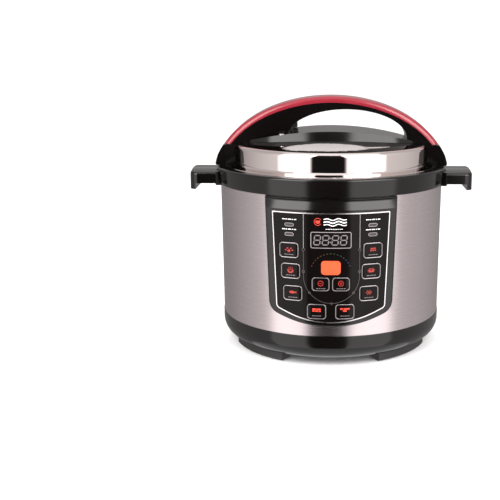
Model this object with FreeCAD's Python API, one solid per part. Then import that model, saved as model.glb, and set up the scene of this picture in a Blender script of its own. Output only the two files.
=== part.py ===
"""Electric pressure cooker, modelled piece by piece in millimetres.

Frame: Z up, the origin on the ground under the pot's axis. The control panel faces -Y and the two
side handles point along -X and +X. At rest the lid is on, with its handle in line with the side
handles and its teeth in the gaps of the pot's flange, so it can lift off or turn to lock.
"""
import FreeCAD, Part
import math
import os

Vec = FreeCAD.Vector

# ---------------------------------------------------------------- driving dimensions (mm)
# heights of the stack, from the ground up
foot_height = 9.5
base_height = 32.1
casing_height = 167.4
collar_height = 21.5

# rolled steel casing, slightly narrower at its foot
casing_radius = 142.0
casing_taper = 1.6
casing_wall = 0.8

# moulded base, its feet and its bottom cover
base_wall = 2.5
base_round = 22.0
base_lip_height = 6.0
base_hole_radius = 86.0
cover_wall = 1.2
cover_overlap = 4.0
foot_inset = 14.0
foot_width = 28.0
foot_rise = 5.0
foot_span_deg = 42.0
foot_azimuth_deg = 49.0
foot_lift = 1.0
pad_height = 3.0
pad_margin = 4.0
vent_slot_count = 9
vent_slot_pitch = 8.0
vent_slot_width = 3.0
vent_slot_length = 52.0
screw_radius = 1.9
screw_head_radius = 3.5
screw_head_height = 1.8

# removable inner pot
pot_radius = 112.0
pot_wall = 1.4
pot_rim_width = 5.0
pot_rim_height = 2.4
pot_bottom_round = 14.0

# fixed outer pot round it
liner_gap = 2.6
liner_wall = 1.5
liner_lift = 17.9
liner_flange_drop = 7.5
liner_flange_width = 4.5
liner_bead_width = 3.4
liner_bead_height = 2.0
liner_hole_radius = 4.0
strut_radius = 3.0
strut_inset = 14.0
strut_count = 6

# bayonet between the outer pot's flange and the lid
tooth_count = 6
tooth_span_deg = 25.0
tooth_depth = 8.5
tooth_thickness = 3.0
tooth_play = 1.5
stop_span_deg = 3.0
stop_start_deg = 11.0

# collar with the drip trough inside it
collar_proud = 4.5
collar_draft = 1.3
collar_wall = 2.4
collar_round = 3.0
collar_ledge_width = 6.2
trough_depth = 21.0
trough_gap = 1.8
drain_radius = 3.0
drain_inset = 7.1

# lid
lid_wall = 1.2
lid_side_height = 23.5
lid_dome_rise = 9.0
lid_corner_round = 5.5
lid_rim_width = 9.5
lid_rim_slope = 3.0
lid_skirt_depth = 18.0
lid_side_gap = 2.0

# sealing ring
gasket_width = 10.0
gasket_height = 10.0
gasket_lip = 2.6
gasket_ring_width = 1.2
gasket_ring_height = 5.0

# lid handle
handle_overhang = 3.5
handle_rise = 104.5
handle_drop = 19.0
handle_flange_gap = 1.0
handle_grip_width = 42.0
handle_leg_width = 50.0
handle_flange_half_width = 28.0
handle_flange_lap = 10.8
handle_flange_height = 27.0
handle_flange_crown = 310.0
handle_flange_overhang = 2.5
handle_core_wall = 2.4
handle_edge_round = 7.0
cover_band_height = 8.0
cover_band_end = 7.0
cover_end_height = 24.0
grip_centre_x = 19.0
grip_half_width = 76.0
grip_bar_thickness = 16.2
grip_opening_height = 37.0
handle_screw_inset = 18.8
handle_screw_spread = 12.0
handle_screw_length = 14.5

# boat-shaped plate between the lid and its handle
boat_inset = 5.8
boat_half_depth = 58.0
boat_height = 9.5
boat_end_drop = 17.0
boat_end_draft = 7.0
boat_side_draft = 12.0
boat_wall = 2.5

# side handles
ear_reach = 32.0
ear_depth = 70.0
ear_top = 17.0
ear_crown = 4.5
ear_plate = 4.0
ear_wall = 3.2
ear_lip_wall = 7.5
ear_lip_drop = 8.0
ear_corner_round = 10.0
ear_edge_round = 3.5
ear_root_depth = 74.0
ear_root_thickness = 3.0
ear_screw_spread = 24.0
ear_screw_height = 8.0

# control panel
panel_proud = 7.5
panel_half_width = 77.5
panel_top_gap = 0.3
panel_height = 153.2
panel_draft = 4.5
panel_corner_round = 17.0
panel_bow_radius = 160.0
panel_bow_deg = 23.0
face_corner_round = 6.0
face_bow_radius = 132.0
panel_slope_drop = 13.3
panel_neck_drop = 4.2
panel_neck_depth = 4.2
panel_ridge_height = 0.9
panel_edge_round = 3.0
panel_rim_round = 0.6
panel_wall = 3.0
panel_floor = 2.0
border_side = 8.4
border_top = 16.5
border_bottom = 5.2
overlay_wall = 1.6
overlay_recess = 0.9
trim_width = 1.3
trim_proud = 0.5

# keys, display and lamps on the panel
key_width = 22.6
key_height = 18.4
key_corner = 4.0
key_wall = 2.2
key_proud = 0.3
key_stem_radius = 1.8
key_stem_gap = 1.0
display_width = 47.0
display_height = 19.0
display_drop = 48.3
lamp_width = 9.0
lamp_height = 2.6
lamp_half_spread = 48.6
board_wall = 1.6
board_half_width = 56.0
board_gap = 14.0
switch_side = 6.0
switch_height = 3.4

# steam valve
vent_x = -56.0
vent_y = 37.5
vent_knob_radius = 11.5
vent_knob_height = 17.0
vent_knob_wall = 3.6
vent_stem_radius = 4.0
vent_bore_radius = 1.6
vent_nut_radius = 7.0
vent_boss_radius = 13.0

# float valve
float_x = -62.0
float_y = -37.0
float_pin_radius = 3.6
float_guide_radius = 5.5
float_flange_radius = 6.2
float_travel = 4.2
float_guide_drop = 11.5
float_guide_height = 9.0

# heating plate and the sprung sensor in its middle
plate_inset = 28.0
plate_thickness = 9.0
plate_lift = 8.0
element_inset = 22.0
element_radius = 4.2
sensor_radius = 10.2
sensor_wall = 1.2
sensor_height = 11.5
spring_radius = 8.2
spring_wall = 1.6

# mains inlet and condensate box at the back
inlet_height = 28.4
inlet_half_width = 14.0
inlet_half_height = 10.0
inlet_flange = 3.2
inlet_wall = 1.8
box_half_width = 41.0
box_height = 40.0
box_reach = 12.0
box_wall = 1.8
box_top_drop = 13.0
rail_height = 10.0
rail_width = 5.6
rib_width = 2.4
rib_height = 2.4

# clearances
clearance = 0.4
running_gap = 0.8
seat_gap = 0.3
fit_gap = 0.15
pin_gap = 0.08

# ---------------------------------------------------------------- levels and radii worked out
base_floor_z = foot_height + base_wall
base_top_z = foot_height + base_height
casing_top_z = base_top_z + casing_height
collar_top_z = casing_top_z + collar_height

liner_inner_radius = pot_radius + liner_gap
liner_outer_radius = liner_inner_radius + liner_wall
liner_top_z = collar_top_z - liner_flange_drop
liner_floor_z = base_top_z + liner_lift
flange_radius = liner_outer_radius + liner_flange_width
tooth_tip_radius = flange_radius + tooth_depth
trough_floor_z = collar_top_z - trough_depth

skirt_inner_radius = tooth_tip_radius + lid_side_gap
skirt_outer_radius = skirt_inner_radius + lid_wall
lid_side_radius = skirt_outer_radius - lid_rim_width
lid_rim_z = collar_top_z - clearance
lid_side_foot_z = lid_rim_z + lid_rim_slope
lid_side_top_z = lid_side_foot_z + lid_side_height
lid_crest_z = lid_side_top_z + lid_dome_rise
lid_tooth_top_z = liner_top_z - tooth_thickness - tooth_play
lid_tooth_bottom_z = lid_tooth_top_z - tooth_thickness

collar_radius = casing_radius + collar_proud
trough_outer_radius = skirt_outer_radius + trough_gap
drain_circle = trough_outer_radius - drain_inset
strut_circle = pot_radius - strut_inset
plate_radius = pot_radius - plate_inset
element_circle = plate_radius - element_inset
handle_half_span = collar_radius + handle_overhang
handle_end_radius = collar_radius + handle_flange_overhang
handle_flange_inner_radius = lid_side_radius - handle_flange_lap
boat_half_length = lid_side_radius - boat_inset

pot_rim_z = liner_top_z + seat_gap
pot_top_z = pot_rim_z + pot_rim_height
plate_bottom_z = liner_floor_z + liner_wall + plate_lift
plate_top_z = plate_bottom_z + plate_thickness
pot_floor_z = plate_top_z + seat_gap

handle_foot_z = collar_top_z + handle_flange_gap
handle_centre_z = handle_foot_z - handle_drop
handle_top_z = handle_centre_z + handle_rise
boat_top_z = lid_crest_z + boat_height
guide_foot_z = lid_crest_z - float_guide_drop
guide_top_z = guide_foot_z + float_guide_height
opening_top_z = handle_top_z - grip_bar_thickness
opening_centre_z = opening_top_z - grip_opening_height

panel_radius = casing_radius + panel_proud
panel_top_z = casing_top_z - panel_top_gap
panel_bottom_z = panel_top_z - panel_height
face_radius = panel_radius - overlay_recess
floor_radius = face_radius - overlay_wall

parts = {}


# ---------------------------------------------------------------- shape helpers
def corner_round(before, corner, after, radius):
    """The start, middle and end of the arc of that radius that rounds a corner."""
    a = (before - corner).normalize()
    b = (after - corner).normalize()
    half = a.getAngle(b) / 2
    run = radius / math.tan(half)
    centre = corner + (a + b).normalize() * (radius / math.sin(half))
    middle = centre + (corner - centre).normalize() * radius
    return corner + a * run, middle, corner + b * run


def rounded_wire(corners):
    """A closed wire through corners, each a point and the radius of its round."""
    count = len(corners)
    arcs = []
    for i, (point, radius) in enumerate(corners):
        corner = Vec(*point)
        before = Vec(*corners[i - 1][0])
        after = Vec(*corners[(i + 1) % count][0])
        arcs.append(corner_round(before, corner, after, radius) if radius else (corner, None, corner))
    edges = []
    for i, (first, middle, last) in enumerate(arcs):
        if middle:
            edges.append(Part.Arc(first, middle, last).toShape())
        following = arcs[(i + 1) % count][0]
        if last.distanceToPoint(following) > 1e-6:
            edges.append(Part.LineSegment(last, following).toShape())
    return Part.Wire(edges)


def radius_of(corner):
    """The round of a corner given as (a, b) or (a, b, round)."""
    return corner[2] if len(corner) > 2 else 0


def lathe(corners, span=360.0, start=0.0):
    """A solid of revolution about Z from corners (radius, height) or (radius, height, round)."""
    wire = rounded_wire([((c[0], 0, c[1]), radius_of(c)) for c in corners])
    solid = Part.Face(wire).revolve(Vec(0, 0, 0), Vec(0, 0, 1), span)
    solid.rotate(Vec(0, 0, 0), Vec(0, 0, 1), start)
    return solid


def lathe_at(x, y, corners):
    """The same about a vertical line through (x, y)."""
    solid = lathe(corners)
    solid.translate(Vec(x, y, 0))
    return solid


def ring(inner, outer, low, high, span=360.0, start=0.0):
    """A plain ring about Z, or a sector of one."""
    return lathe([(inner, low), (outer, low), (outer, high), (inner, high)], span, start)


def rod(radius, low, high, x=0.0, y=0.0):
    """A vertical cylinder."""
    return Part.makeCylinder(radius, high - low, Vec(x, y, low))


def rod_y(radius, front, back, x, z):
    """A cylinder along Y."""
    return Part.makeCylinder(radius, back - front, Vec(x, front, z), Vec(0, 1, 0))


def block(x0, x1, y0, y1, z0, z1):
    """A box from its limits."""
    return Part.makeBox(x1 - x0, y1 - y0, z1 - z0, Vec(x0, y0, z0))


def prism_up(corners, low, high):
    """A prism along Z over a rounded outline in plan."""
    wire = rounded_wire([((c[0], c[1], low), radius_of(c)) for c in corners])
    return Part.Face(wire).extrude(Vec(0, 0, high - low))


def prism_back(corners, front, back):
    """A prism along Y over a rounded outline seen from the front."""
    wire = rounded_wire([((c[0], front, c[1]), radius_of(c)) for c in corners])
    return Part.Face(wire).extrude(Vec(0, back - front, 0))


def rectangle(x, z, width, height, corner):
    """The outline of a rounded rectangle about a centre."""
    w, h = width / 2, height / 2
    signs = [(-1, -1), (1, -1), (1, 1), (-1, 1)]
    return [(x + sx * w, z + sz * h, corner) for sx, sz in signs]


def polar(radius, degrees):
    """Plan position from a radius and an angle from +X."""
    angle = math.radians(degrees)
    return radius * math.cos(angle), radius * math.sin(angle)


def mirrored(shape):
    """The left-hand copy of a right-hand piece."""
    return shape.mirror(Vec(0, 0, 0), Vec(1, 0, 0))


def fused(shapes):
    """One solid from touching shapes."""
    return shapes[0].fuse(shapes[1:]).removeSplitter()


def group(solids):
    """Separate solids that share one node."""
    return Part.makeCompound(solids)


# ---------------------------------------------------------------- base, feet and bottom cover
base_radius = casing_radius - casing_taper + 0.6
base_seat_radius = casing_radius - casing_taper - casing_wall - fit_gap
foot_outer_radius = base_radius - foot_inset
foot_inner_radius = foot_outer_radius - foot_width
foot_middle_radius = foot_outer_radius - foot_width / 2
foot_centres = [270 - foot_azimuth_deg, 270 + foot_azimuth_deg, 90 - foot_azimuth_deg, 90 + foot_azimuth_deg]
cover_radius = base_hole_radius + cover_overlap
cover_lugs = [45, 135, 225, 315]
cover_screw_circle = base_hole_radius - 5.0
lug_height = 9.0
power_z = foot_height + 12.0
power_corners = [(-40, 18), (40, 18), (-40, 66), (40, 66)]


def foot_screw(degrees):
    """A pan-head screw up through a foot into the base's floor."""
    x, y = polar(foot_middle_radius, degrees)
    head = rod(screw_head_radius, pad_height - screw_head_height, pad_height, x, y)
    return head.fuse(rod(screw_radius, pad_height, base_floor_z, x, y))


def cover_screw(degrees):
    """A screw up through the bottom cover into a lug of the base."""
    x, y = polar(cover_screw_circle, degrees)
    head_z = foot_height - cover_wall
    head = rod(screw_head_radius, head_z - screw_head_height, head_z, x, y)
    return head.fuse(rod(screw_radius, head_z, foot_height + lug_height - 1, x, y))


def base_shell():
    """A shallow bowl with a lip inside the casing, a service hole and four screw lugs in it."""
    bowl = lathe([
        (base_hole_radius, foot_height),
        (base_radius, foot_height, base_round),
        (base_radius, base_top_z, 0.8),
        (base_seat_radius, base_top_z),
        (base_seat_radius, base_top_z + base_lip_height),
        (base_seat_radius - base_wall, base_top_z + base_lip_height),
        (base_seat_radius - base_wall, base_floor_z, base_round - base_wall),
        (base_hole_radius, base_floor_z),
    ])
    lugs = []
    for degrees in cover_lugs:
        x, y = polar(cover_screw_circle, degrees)
        lugs.append(rod(7.0, foot_height, foot_height + lug_height, x, y))
    bowl = fused([bowl] + lugs)
    for degrees in foot_centres:
        bowl = bowl.cut(foot_screw(degrees))
    for degrees in cover_lugs:
        bowl = bowl.cut(cover_screw(degrees))
    return bowl


def pad_blank(degrees, grow, top):
    """The arc of a rubber pad, grown all round."""
    margin = pad_margin - grow
    span = foot_span_deg - 2 * math.degrees(margin / foot_middle_radius)
    return ring(foot_inner_radius + margin, foot_outer_radius - margin, 0, top, span, degrees - span / 2)


def foot(degrees):
    """A curved block under the base with a pocket for its pad and a hole for its screw."""
    lug = lathe([
        (foot_inner_radius, foot_lift, 1.5),
        (foot_outer_radius, foot_lift, 2.5),
        (foot_outer_radius, foot_height + foot_rise),
        (foot_inner_radius, foot_height + foot_rise),
    ], foot_span_deg, degrees - foot_span_deg / 2)
    lug = lug.cut(lathe([
        (0, foot_height),
        (base_radius, foot_height, base_round),
        (base_radius, base_top_z),
        (0, base_top_z),
    ]))
    x, y = polar(foot_middle_radius, degrees)
    hole = rod(screw_radius + fit_gap, 0, foot_height, x, y)
    return lug.cut(pad_blank(degrees, fit_gap, pad_height)).cut(hole)


def foot_pad(degrees):
    """A rubber pad with a recess round the screw's head."""
    x, y = polar(foot_middle_radius, degrees)
    recess = rod(screw_head_radius + clearance, 0, pad_height, x, y)
    return pad_blank(degrees, 0, pad_height).cut(recess)


def bottom_cover():
    """The plate that closes the service hole, slotted for air, with posts for the power board."""
    plate = rod(cover_radius, foot_height - cover_wall, foot_height)
    first = -vent_slot_pitch * (vent_slot_count - 1) / 2
    for k in range(vent_slot_count):
        y = first + vent_slot_pitch * k
        plate = plate.cut(block(-vent_slot_length / 2, vent_slot_length / 2,
                                y - vent_slot_width / 2, y + vent_slot_width / 2, 0, foot_height))
    for degrees in cover_lugs:
        x, y = polar(cover_screw_circle, degrees)
        plate = plate.cut(rod(screw_radius + fit_gap, 0, foot_height, x, y))
    posts = [rod(3.0, foot_height, power_z, x, y) for x, y in power_corners]
    return fused([plate] + posts)


parts["base_shell"] = base_shell()
parts["feet"] = group([foot(a) for a in foot_centres])
parts["foot_pads"] = group([foot_pad(a) for a in foot_centres])
parts["base_screws"] = group([foot_screw(a) for a in foot_centres] + [cover_screw(a) for a in cover_lugs])
parts["bottom_cover"] = bottom_cover()

# ---------------------------------------------------------------- control panel outline and keys
panel_reach = panel_radius + 10.0
key_places = {
    "key_left_top": (-49.0, panel_top_z - 61.7),
    "key_left_middle": (-47.2, panel_top_z - 86.5),
    "key_left_low": (-44.7, panel_bottom_z + 40.1),
    "key_right_top": (49.0, panel_top_z - 61.7),
    "key_right_middle": (47.2, panel_top_z - 86.5),
    "key_right_low": (44.7, panel_bottom_z + 40.1),
    "key_minus": (-11.9, panel_bottom_z + 52.3),
    "key_plus": (11.9, panel_bottom_z + 52.3),
    "key_cancel": (-16.6, panel_bottom_z + 19.1),
    "key_start": (16.6, panel_bottom_z + 19.1),
    "key_preset": (0.0, panel_top_z - 81.1),
}
key_slim = {"key_minus": 0.9, "key_plus": 0.9, "key_preset": 0.9}
key_narrow = {"key_minus": 0.92, "key_plus": 0.92}
display_z = panel_top_z - display_drop
post_places = [
    (-30, panel_top_z - 22.7), (30, panel_top_z - 22.7),
    (-40, panel_bottom_z + 18.5), (40, panel_bottom_z + 18.5),
]
board_front_y = -casing_radius + board_gap
board_back_y = board_front_y + board_wall
switch_front_y = board_front_y - switch_height
lamp_places = [(sx * lamp_half_spread, panel_top_z - drop) for sx in (-1, 1) for drop in (31.5, 42.7)]


def bowed_outline(half_width, top_z, bottom_z, bow_radius, corner):
    """An outline seen from the front: straight drafted sides, round lower corners and a lower edge
    that is one arc from corner to corner, lowest at its middle."""
    slope = math.radians(panel_bow_deg)
    low = half_width - panel_draft
    tip_z = bottom_z - bow_radius * (1 / math.cos(slope) - 1)
    corner_z = tip_z + low * math.tan(slope)
    return [
        (half_width, top_z, 1.5),
        (-half_width, top_z, 1.5),
        (-low, corner_z, corner),
        (0, tip_z, bow_radius),
        (low, corner_z, corner),
    ]


def outer_outline(inset=0.0):
    """The outline of the whole panel, drawn in by an inset."""
    return bowed_outline(panel_half_width - inset, panel_top_z - inset, panel_bottom_z + inset,
                         panel_bow_radius - inset, panel_corner_round - inset)


def inner_outline(grow=0.0):
    """The outline of the sunk face inside the panel's border."""
    return bowed_outline(panel_half_width - border_side + grow, panel_top_z - border_top + grow,
                         panel_bottom_z + border_bottom - grow, face_bow_radius + grow,
                         face_corner_round + grow)


def key_size(name, grow=0.0):
    """A key's width and height, grown by a clearance on every side."""
    width = key_width * key_narrow.get(name, 1.0) + 2 * grow
    return width, key_height * key_slim.get(name, 1.0) + 2 * grow


def shell_between(inner, outer):
    """The space between two cylinders about the pot's axis, over the panel's height."""
    return ring(inner, outer, panel_bottom_z - 15, panel_top_z + 15)


def panel_holes(grow):
    """Everything that goes through the panel's face: keys, display and lamps."""
    holes = []
    for name, (x, z) in key_places.items():
        width, height = key_size(name, clearance + grow)
        holes.append(prism_back(rectangle(x, z, width, height, key_corner + clearance), -panel_reach, 0))
    holes.append(prism_back(rectangle(0, display_z, display_width, display_height, 1.5), -panel_reach, 0))
    for x, z in lamp_places:
        holes.append(prism_back(rectangle(x, z, lamp_width, lamp_height, 1.2), -panel_reach, 0))
    return holes


def panel_neck_cut():
    """What is turned away above the border: a slope, then a neck with two thin ridges."""
    neck = panel_radius - panel_neck_depth
    ridge = neck + panel_ridge_height
    low = panel_top_z - panel_neck_drop
    step = panel_neck_drop / 4
    return lathe([
        (panel_radius, panel_top_z - panel_slope_drop),
        (panel_radius + 8, panel_top_z - panel_slope_drop),
        (panel_radius + 8, panel_top_z + 1),
        (neck, panel_top_z + 1),
        (neck, low + 4 * step - 0.1),
        (ridge, low + 3.5 * step),
        (neck, low + 2.9 * step),
        (neck, low + 2.1 * step),
        (ridge, low + 1.6 * step),
        (neck, low + step),
        (neck, low),
    ])


def edges_on_cylinder(shape, radius):
    """The edges of a shape that lie on a cylinder about the pot's axis."""
    found = []
    for edge in shape.Edges:
        if all(abs(math.hypot(p.x, p.y) - radius) < 0.02 for p in edge.discretize(5)):
            found.append(edge)
    return found


def inside_sunk_face(edge):
    """True for an edge round the sunk face, which lies inside the panel's border."""
    box = edge.BoundBox
    reach = panel_half_width - border_side + 1
    return box.XMin > -reach and box.XMax < reach and box.ZMin > panel_bottom_z + border_bottom / 2


def board_post(x, z):
    """A post from the panel's floor back to the board behind it."""
    post = rod_y(2.6, -panel_reach, board_front_y, x, z)
    return post.common(ring(0, floor_radius - panel_floor + 0.5, z - 5, z + 5))


def panel_bezel():
    """The moulded frame: a skirt down to the casing, a border with a sloped top, a sunk floor."""
    body = prism_back(outer_outline(), -panel_reach, 0)
    body = body.common(shell_between(casing_radius + fit_gap, panel_radius))
    under = prism_back(outer_outline(panel_wall), -panel_reach, 0)
    body = body.cut(under.common(shell_between(casing_radius - 10, floor_radius - panel_floor)))
    sunk = prism_back(inner_outline(fit_gap), -panel_reach, 0)
    body = body.cut(sunk.common(shell_between(floor_radius, panel_radius + 5)))
    body = body.cut(panel_neck_cut())
    outer_edges = edges_on_cylinder(body, panel_radius)
    sides = [e for e in outer_edges if not inside_sunk_face(e) and e.BoundBox.ZLength > 0.2]
    body = body.makeFillet(panel_edge_round, sides)
    for hole in panel_holes(0):
        body = body.cut(hole)
    return fused([body] + [board_post(x, z) for x, z in post_places])


def panel_overlay():
    """The glossy printed sheet in the sunk floor."""
    sheet = prism_back(inner_outline(-trim_width), -panel_reach, 0)
    sheet = sheet.common(shell_between(floor_radius, face_radius))
    for hole in panel_holes(0):
        sheet = sheet.cut(hole)
    return sheet


def panel_trim():
    """The bright line round the printed sheet."""
    outer = prism_back(inner_outline(), -panel_reach, 0)
    inner = prism_back(inner_outline(-trim_width), -panel_reach, 0)
    return outer.cut(inner).common(shell_between(floor_radius, face_radius + trim_proud))


def key(name):
    """A curved cap on a stem that reaches almost to its switch."""
    x, z = key_places[name]
    width, height = key_size(name)
    outer = face_radius + key_proud
    cap = prism_back(rectangle(x, z, width, height, key_corner), -panel_reach, 0)
    cap = cap.common(shell_between(outer - key_wall, outer))
    stem_back = switch_front_y - key_stem_gap
    stem = rod_y(key_stem_radius, -outer + key_wall / 2, stem_back, x, z)
    return fused([cap, stem.common(shell_between(0, outer - key_wall / 2))])


def display_window():
    """The smoked lens over the digits."""
    lens = prism_back(rectangle(0, display_z, display_width, display_height, 1.5), -panel_reach, 0)
    return lens.common(shell_between(floor_radius - panel_floor, face_radius))


def lamp_lens(x, z):
    """One small clear lens."""
    lens = prism_back(rectangle(x, z, lamp_width, lamp_height, 1.2), -panel_reach, 0)
    return lens.common(shell_between(floor_radius - panel_floor, face_radius))


parts["panel_bezel"] = panel_bezel()
parts["panel_overlay"] = panel_overlay()
parts["panel_trim"] = panel_trim()
parts["display_window"] = display_window()
parts["lamp_lenses"] = group([lamp_lens(x, z) for x, z in lamp_places])
for key_name in key_places:
    parts[key_name] = key(key_name)


# ---------------------------------------------------------------- boards behind the panel
def control_board():
    """The board behind the keys, fixed to the panel by four posts."""
    low, high = panel_bottom_z + 10, panel_top_z - 12
    board = block(-board_half_width, board_half_width, board_front_y, board_back_y, low, high)
    return board


def tact_switch(x, z):
    """The switch under one key."""
    half = switch_side / 2
    return block(x - half, x + half, switch_front_y, board_front_y, z - half, z + half)


display_front_y = -math.sqrt((floor_radius - panel_floor) ** 2 - (display_width / 2) ** 2) + 0.5
parts["control_board"] = control_board()
parts["tact_switches"] = group([tact_switch(x, z) for x, z in key_places.values()])
parts["display_module"] = block(-display_width / 2 - 1, display_width / 2 + 1, display_front_y, board_front_y,
                                display_z - display_height / 2 - 1, display_z + display_height / 2 + 1)

# ---------------------------------------------------------------- brushed steel casing
inlet_z = base_top_z + inlet_height
spout_z = casing_top_z - 7.0
spout_radius = drain_radius + 1.2


def casing():
    """The rolled sheet, open behind the panel and pierced for the inlet and the drain."""
    foot_radius = casing_radius - casing_taper
    sheet = lathe([
        (foot_radius - casing_wall, base_top_z),
        (foot_radius, base_top_z),
        (casing_radius, casing_top_z),
        (casing_radius - casing_wall, casing_top_z),
    ])
    sheet = sheet.cut(prism_back(inner_outline(), -panel_reach, 0))
    socket = rectangle(0, inlet_z, 2 * (inlet_half_width + fit_gap), 2 * (inlet_half_height + fit_gap), 2.0)
    sheet = sheet.cut(prism_back(socket, 0, panel_reach))
    return sheet.cut(rod_y(spout_radius + fit_gap, 0, panel_reach, 0, spout_z))


parts["outer_casing"] = casing()

# ---------------------------------------------------------------- collar and side handles
ear_screw_z = casing_top_z + ear_screw_height
ear_top_z = casing_top_z + ear_top
ear_lip_z = casing_top_z - ear_lip_drop
ear_end_x = collar_radius + ear_reach
ear_web_z = casing_top_z - 0.5


def collar_envelope(grow=0.0):
    """The solid that fills the collar out to its drafted side, down to the casing below."""
    r = collar_radius + grow
    return lathe([
        (0, casing_top_z - 20),
        (casing_radius + grow, casing_top_z - 20),
        (casing_radius + grow, casing_top_z),
        (r - collar_draft, casing_top_z),
        (r, collar_top_z),
        (0, collar_top_z),
    ])


def top_collar():
    """A hollow ring with a drip trough inside it and a drain at the back."""
    w = collar_wall
    r = collar_radius
    body = lathe([
        (trough_outer_radius, collar_top_z, 1.2),
        (r, collar_top_z, collar_round),
        (r - collar_draft, casing_top_z, 0.8),
        (r - collar_draft - collar_ledge_width, casing_top_z),
        (r - collar_draft - collar_ledge_width, casing_top_z + w),
        (r - collar_draft - w, casing_top_z + w),
        (r - w, collar_top_z - w),
        (trough_outer_radius + w, collar_top_z - w),
        (trough_outer_radius + w, trough_floor_z - w),
        (liner_outer_radius + fit_gap, trough_floor_z - w),
        (liner_outer_radius + fit_gap, trough_floor_z),
        (trough_outer_radius, trough_floor_z),
    ])
    return body.cut(rod(drain_radius, trough_floor_z - w, trough_floor_z, 0, drain_circle))


def ear_screw(y):
    """A screw from inside the collar out into a side handle."""
    head = Part.makeCylinder(screw_head_radius, 2.0, Vec(collar_radius - 6.6, y, ear_screw_z), Vec(1, 0, 0))
    shank = Part.makeCylinder(screw_radius, 9.0, Vec(collar_radius - 6.6, y, ear_screw_z), Vec(1, 0, 0))
    return head.fuse(shank)


def side_handle():
    """The right side handle: a crowned plate open below, with a deep outer lip."""
    half = ear_depth / 2
    root = collar_radius - 12
    crown_radius = (half ** 2 + ear_crown ** 2) / (2 * ear_crown)
    crown = Part.makeCylinder(crown_radius, 200, Vec(0, 0, ear_top_z - crown_radius), Vec(1, 0, 0))
    blank = prism_up([
        (root, -half), (ear_end_x, -half, ear_corner_round),
        (ear_end_x, half, ear_corner_round), (root, half),
    ], ear_lip_z, ear_top_z)
    inside = half - ear_wall
    hollow = prism_up([
        (root - 5, -inside), (ear_end_x - ear_lip_wall, -inside, ear_corner_round / 2),
        (ear_end_x - ear_lip_wall, inside, ear_corner_round / 2), (root - 5, inside),
    ], ear_lip_z, ear_top_z - ear_crown - ear_plate + 2)
    step = block(root - 5, ear_end_x - ear_lip_wall, -half - 1, half + 1, ear_lip_z - 1, ear_web_z)
    flange_span = 2 * math.degrees(math.asin(ear_root_depth / 2 / collar_radius))
    flange = ring(casing_radius, collar_radius + ear_root_thickness, casing_top_z - 2.5,
                  ear_top_z - ear_crown + 2, flange_span, -flange_span / 2)
    body = blank.common(crown)
    top_edges = [e for e in body.Edges
                 if e.BoundBox.ZMin > ear_top_z - ear_crown - 0.1 and e.BoundBox.XMax > root + 1]
    body = body.makeFillet(ear_edge_round, top_edges)
    handle = fused([body.cut(hollow).cut(step), flange])
    handle = handle.cut(collar_envelope(fit_gap))
    for y in (-ear_screw_spread, ear_screw_spread):
        handle = handle.cut(ear_screw(y))
    return handle


def collar_with_screw_holes():
    """The collar, bored for the four side handle screws."""
    body = top_collar()
    for y in (-ear_screw_spread, ear_screw_spread):
        body = body.cut(ear_screw(y)).cut(mirrored(ear_screw(y)))
    return body


parts["top_collar"] = collar_with_screw_holes()
parts["side_handle_right"] = side_handle()
parts["side_handle_left"] = mirrored(parts["side_handle_right"])
right_screws = [ear_screw(-ear_screw_spread), ear_screw(ear_screw_spread)]
parts["side_handle_screws"] = group(right_screws + [mirrored(s) for s in right_screws])

# ---------------------------------------------------------------- outer pot, struts, heating plate
element_z = plate_bottom_z
terminal_places = [polar(element_circle, 78), polar(element_circle, 102)]
tooth_pitch = 360.0 / tooth_count


def outer_pot():
    """The fixed pot with a toothed flange at its mouth and stops under the teeth."""
    w = liner_wall
    body = lathe([
        (liner_hole_radius, liner_floor_z),
        (liner_outer_radius, liner_floor_z, pot_bottom_round),
        (liner_outer_radius, trough_floor_z),
        (liner_outer_radius + liner_bead_width, trough_floor_z),
        (liner_outer_radius + liner_bead_width, trough_floor_z + liner_bead_height),
        (liner_outer_radius, trough_floor_z + liner_bead_height),
        (liner_outer_radius, liner_top_z - tooth_thickness),
        (flange_radius, liner_top_z - tooth_thickness),
        (flange_radius, liner_top_z, 0.8),
        (liner_inner_radius, liner_top_z, 0.6),
        (liner_inner_radius, liner_floor_z + w, pot_bottom_round - w),
        (liner_hole_radius, liner_floor_z + w),
    ])
    pieces = [body]
    for k in range(tooth_count):
        middle = tooth_pitch * (k + 0.5)
        pieces.append(ring(flange_radius - 2, tooth_tip_radius, liner_top_z - tooth_thickness, liner_top_z - 0.8,
                           tooth_span_deg, middle - tooth_span_deg / 2))
        pieces.append(ring(flange_radius + 2, tooth_tip_radius, lid_tooth_bottom_z, liner_top_z - 1.5,
                           stop_span_deg, middle + stop_start_deg))
    body = fused(pieces)
    for x, y in terminal_places:
        body = body.cut(rod(element_radius, liner_floor_z - 1, plate_bottom_z, x, y))
    return body


def heating_plate():
    """A cast disc on three legs, grooved for its element and bored for the sensor."""
    plate = lathe([
        (sensor_radius + running_gap, plate_bottom_z),
        (plate_radius, plate_bottom_z, 1.5),
        (plate_radius, plate_top_z, 1.0),
        (sensor_radius + running_gap, plate_top_z),
    ])
    legs = []
    for k in range(3):
        x, y = polar(element_circle - 22, 30 + 120 * k)
        legs.append(rod(5.0, liner_floor_z + liner_wall, plate_bottom_z + 1, x, y))
    return fused([plate] + legs).cut(element_ring())


def element_ring():
    """The round heating tube let half into the plate."""
    return Part.makeTorus(element_circle, element_radius, Vec(0, 0, element_z))


def heating_element():
    """The tube and its two terminals down through the outer pot's floor."""
    pieces = [element_ring().cut(ring(0, plate_radius, element_z + element_radius, plate_top_z + 1))]
    for x, y in terminal_places:
        pieces.append(rod(2.4, liner_floor_z - 12, element_z, x, y))
    return fused(pieces)


def strut(degrees):
    """A post from the base's floor to the outer pot's floor."""
    x, y = polar(strut_circle, degrees)
    return rod(strut_radius, base_floor_z, liner_floor_z, x, y)


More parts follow.
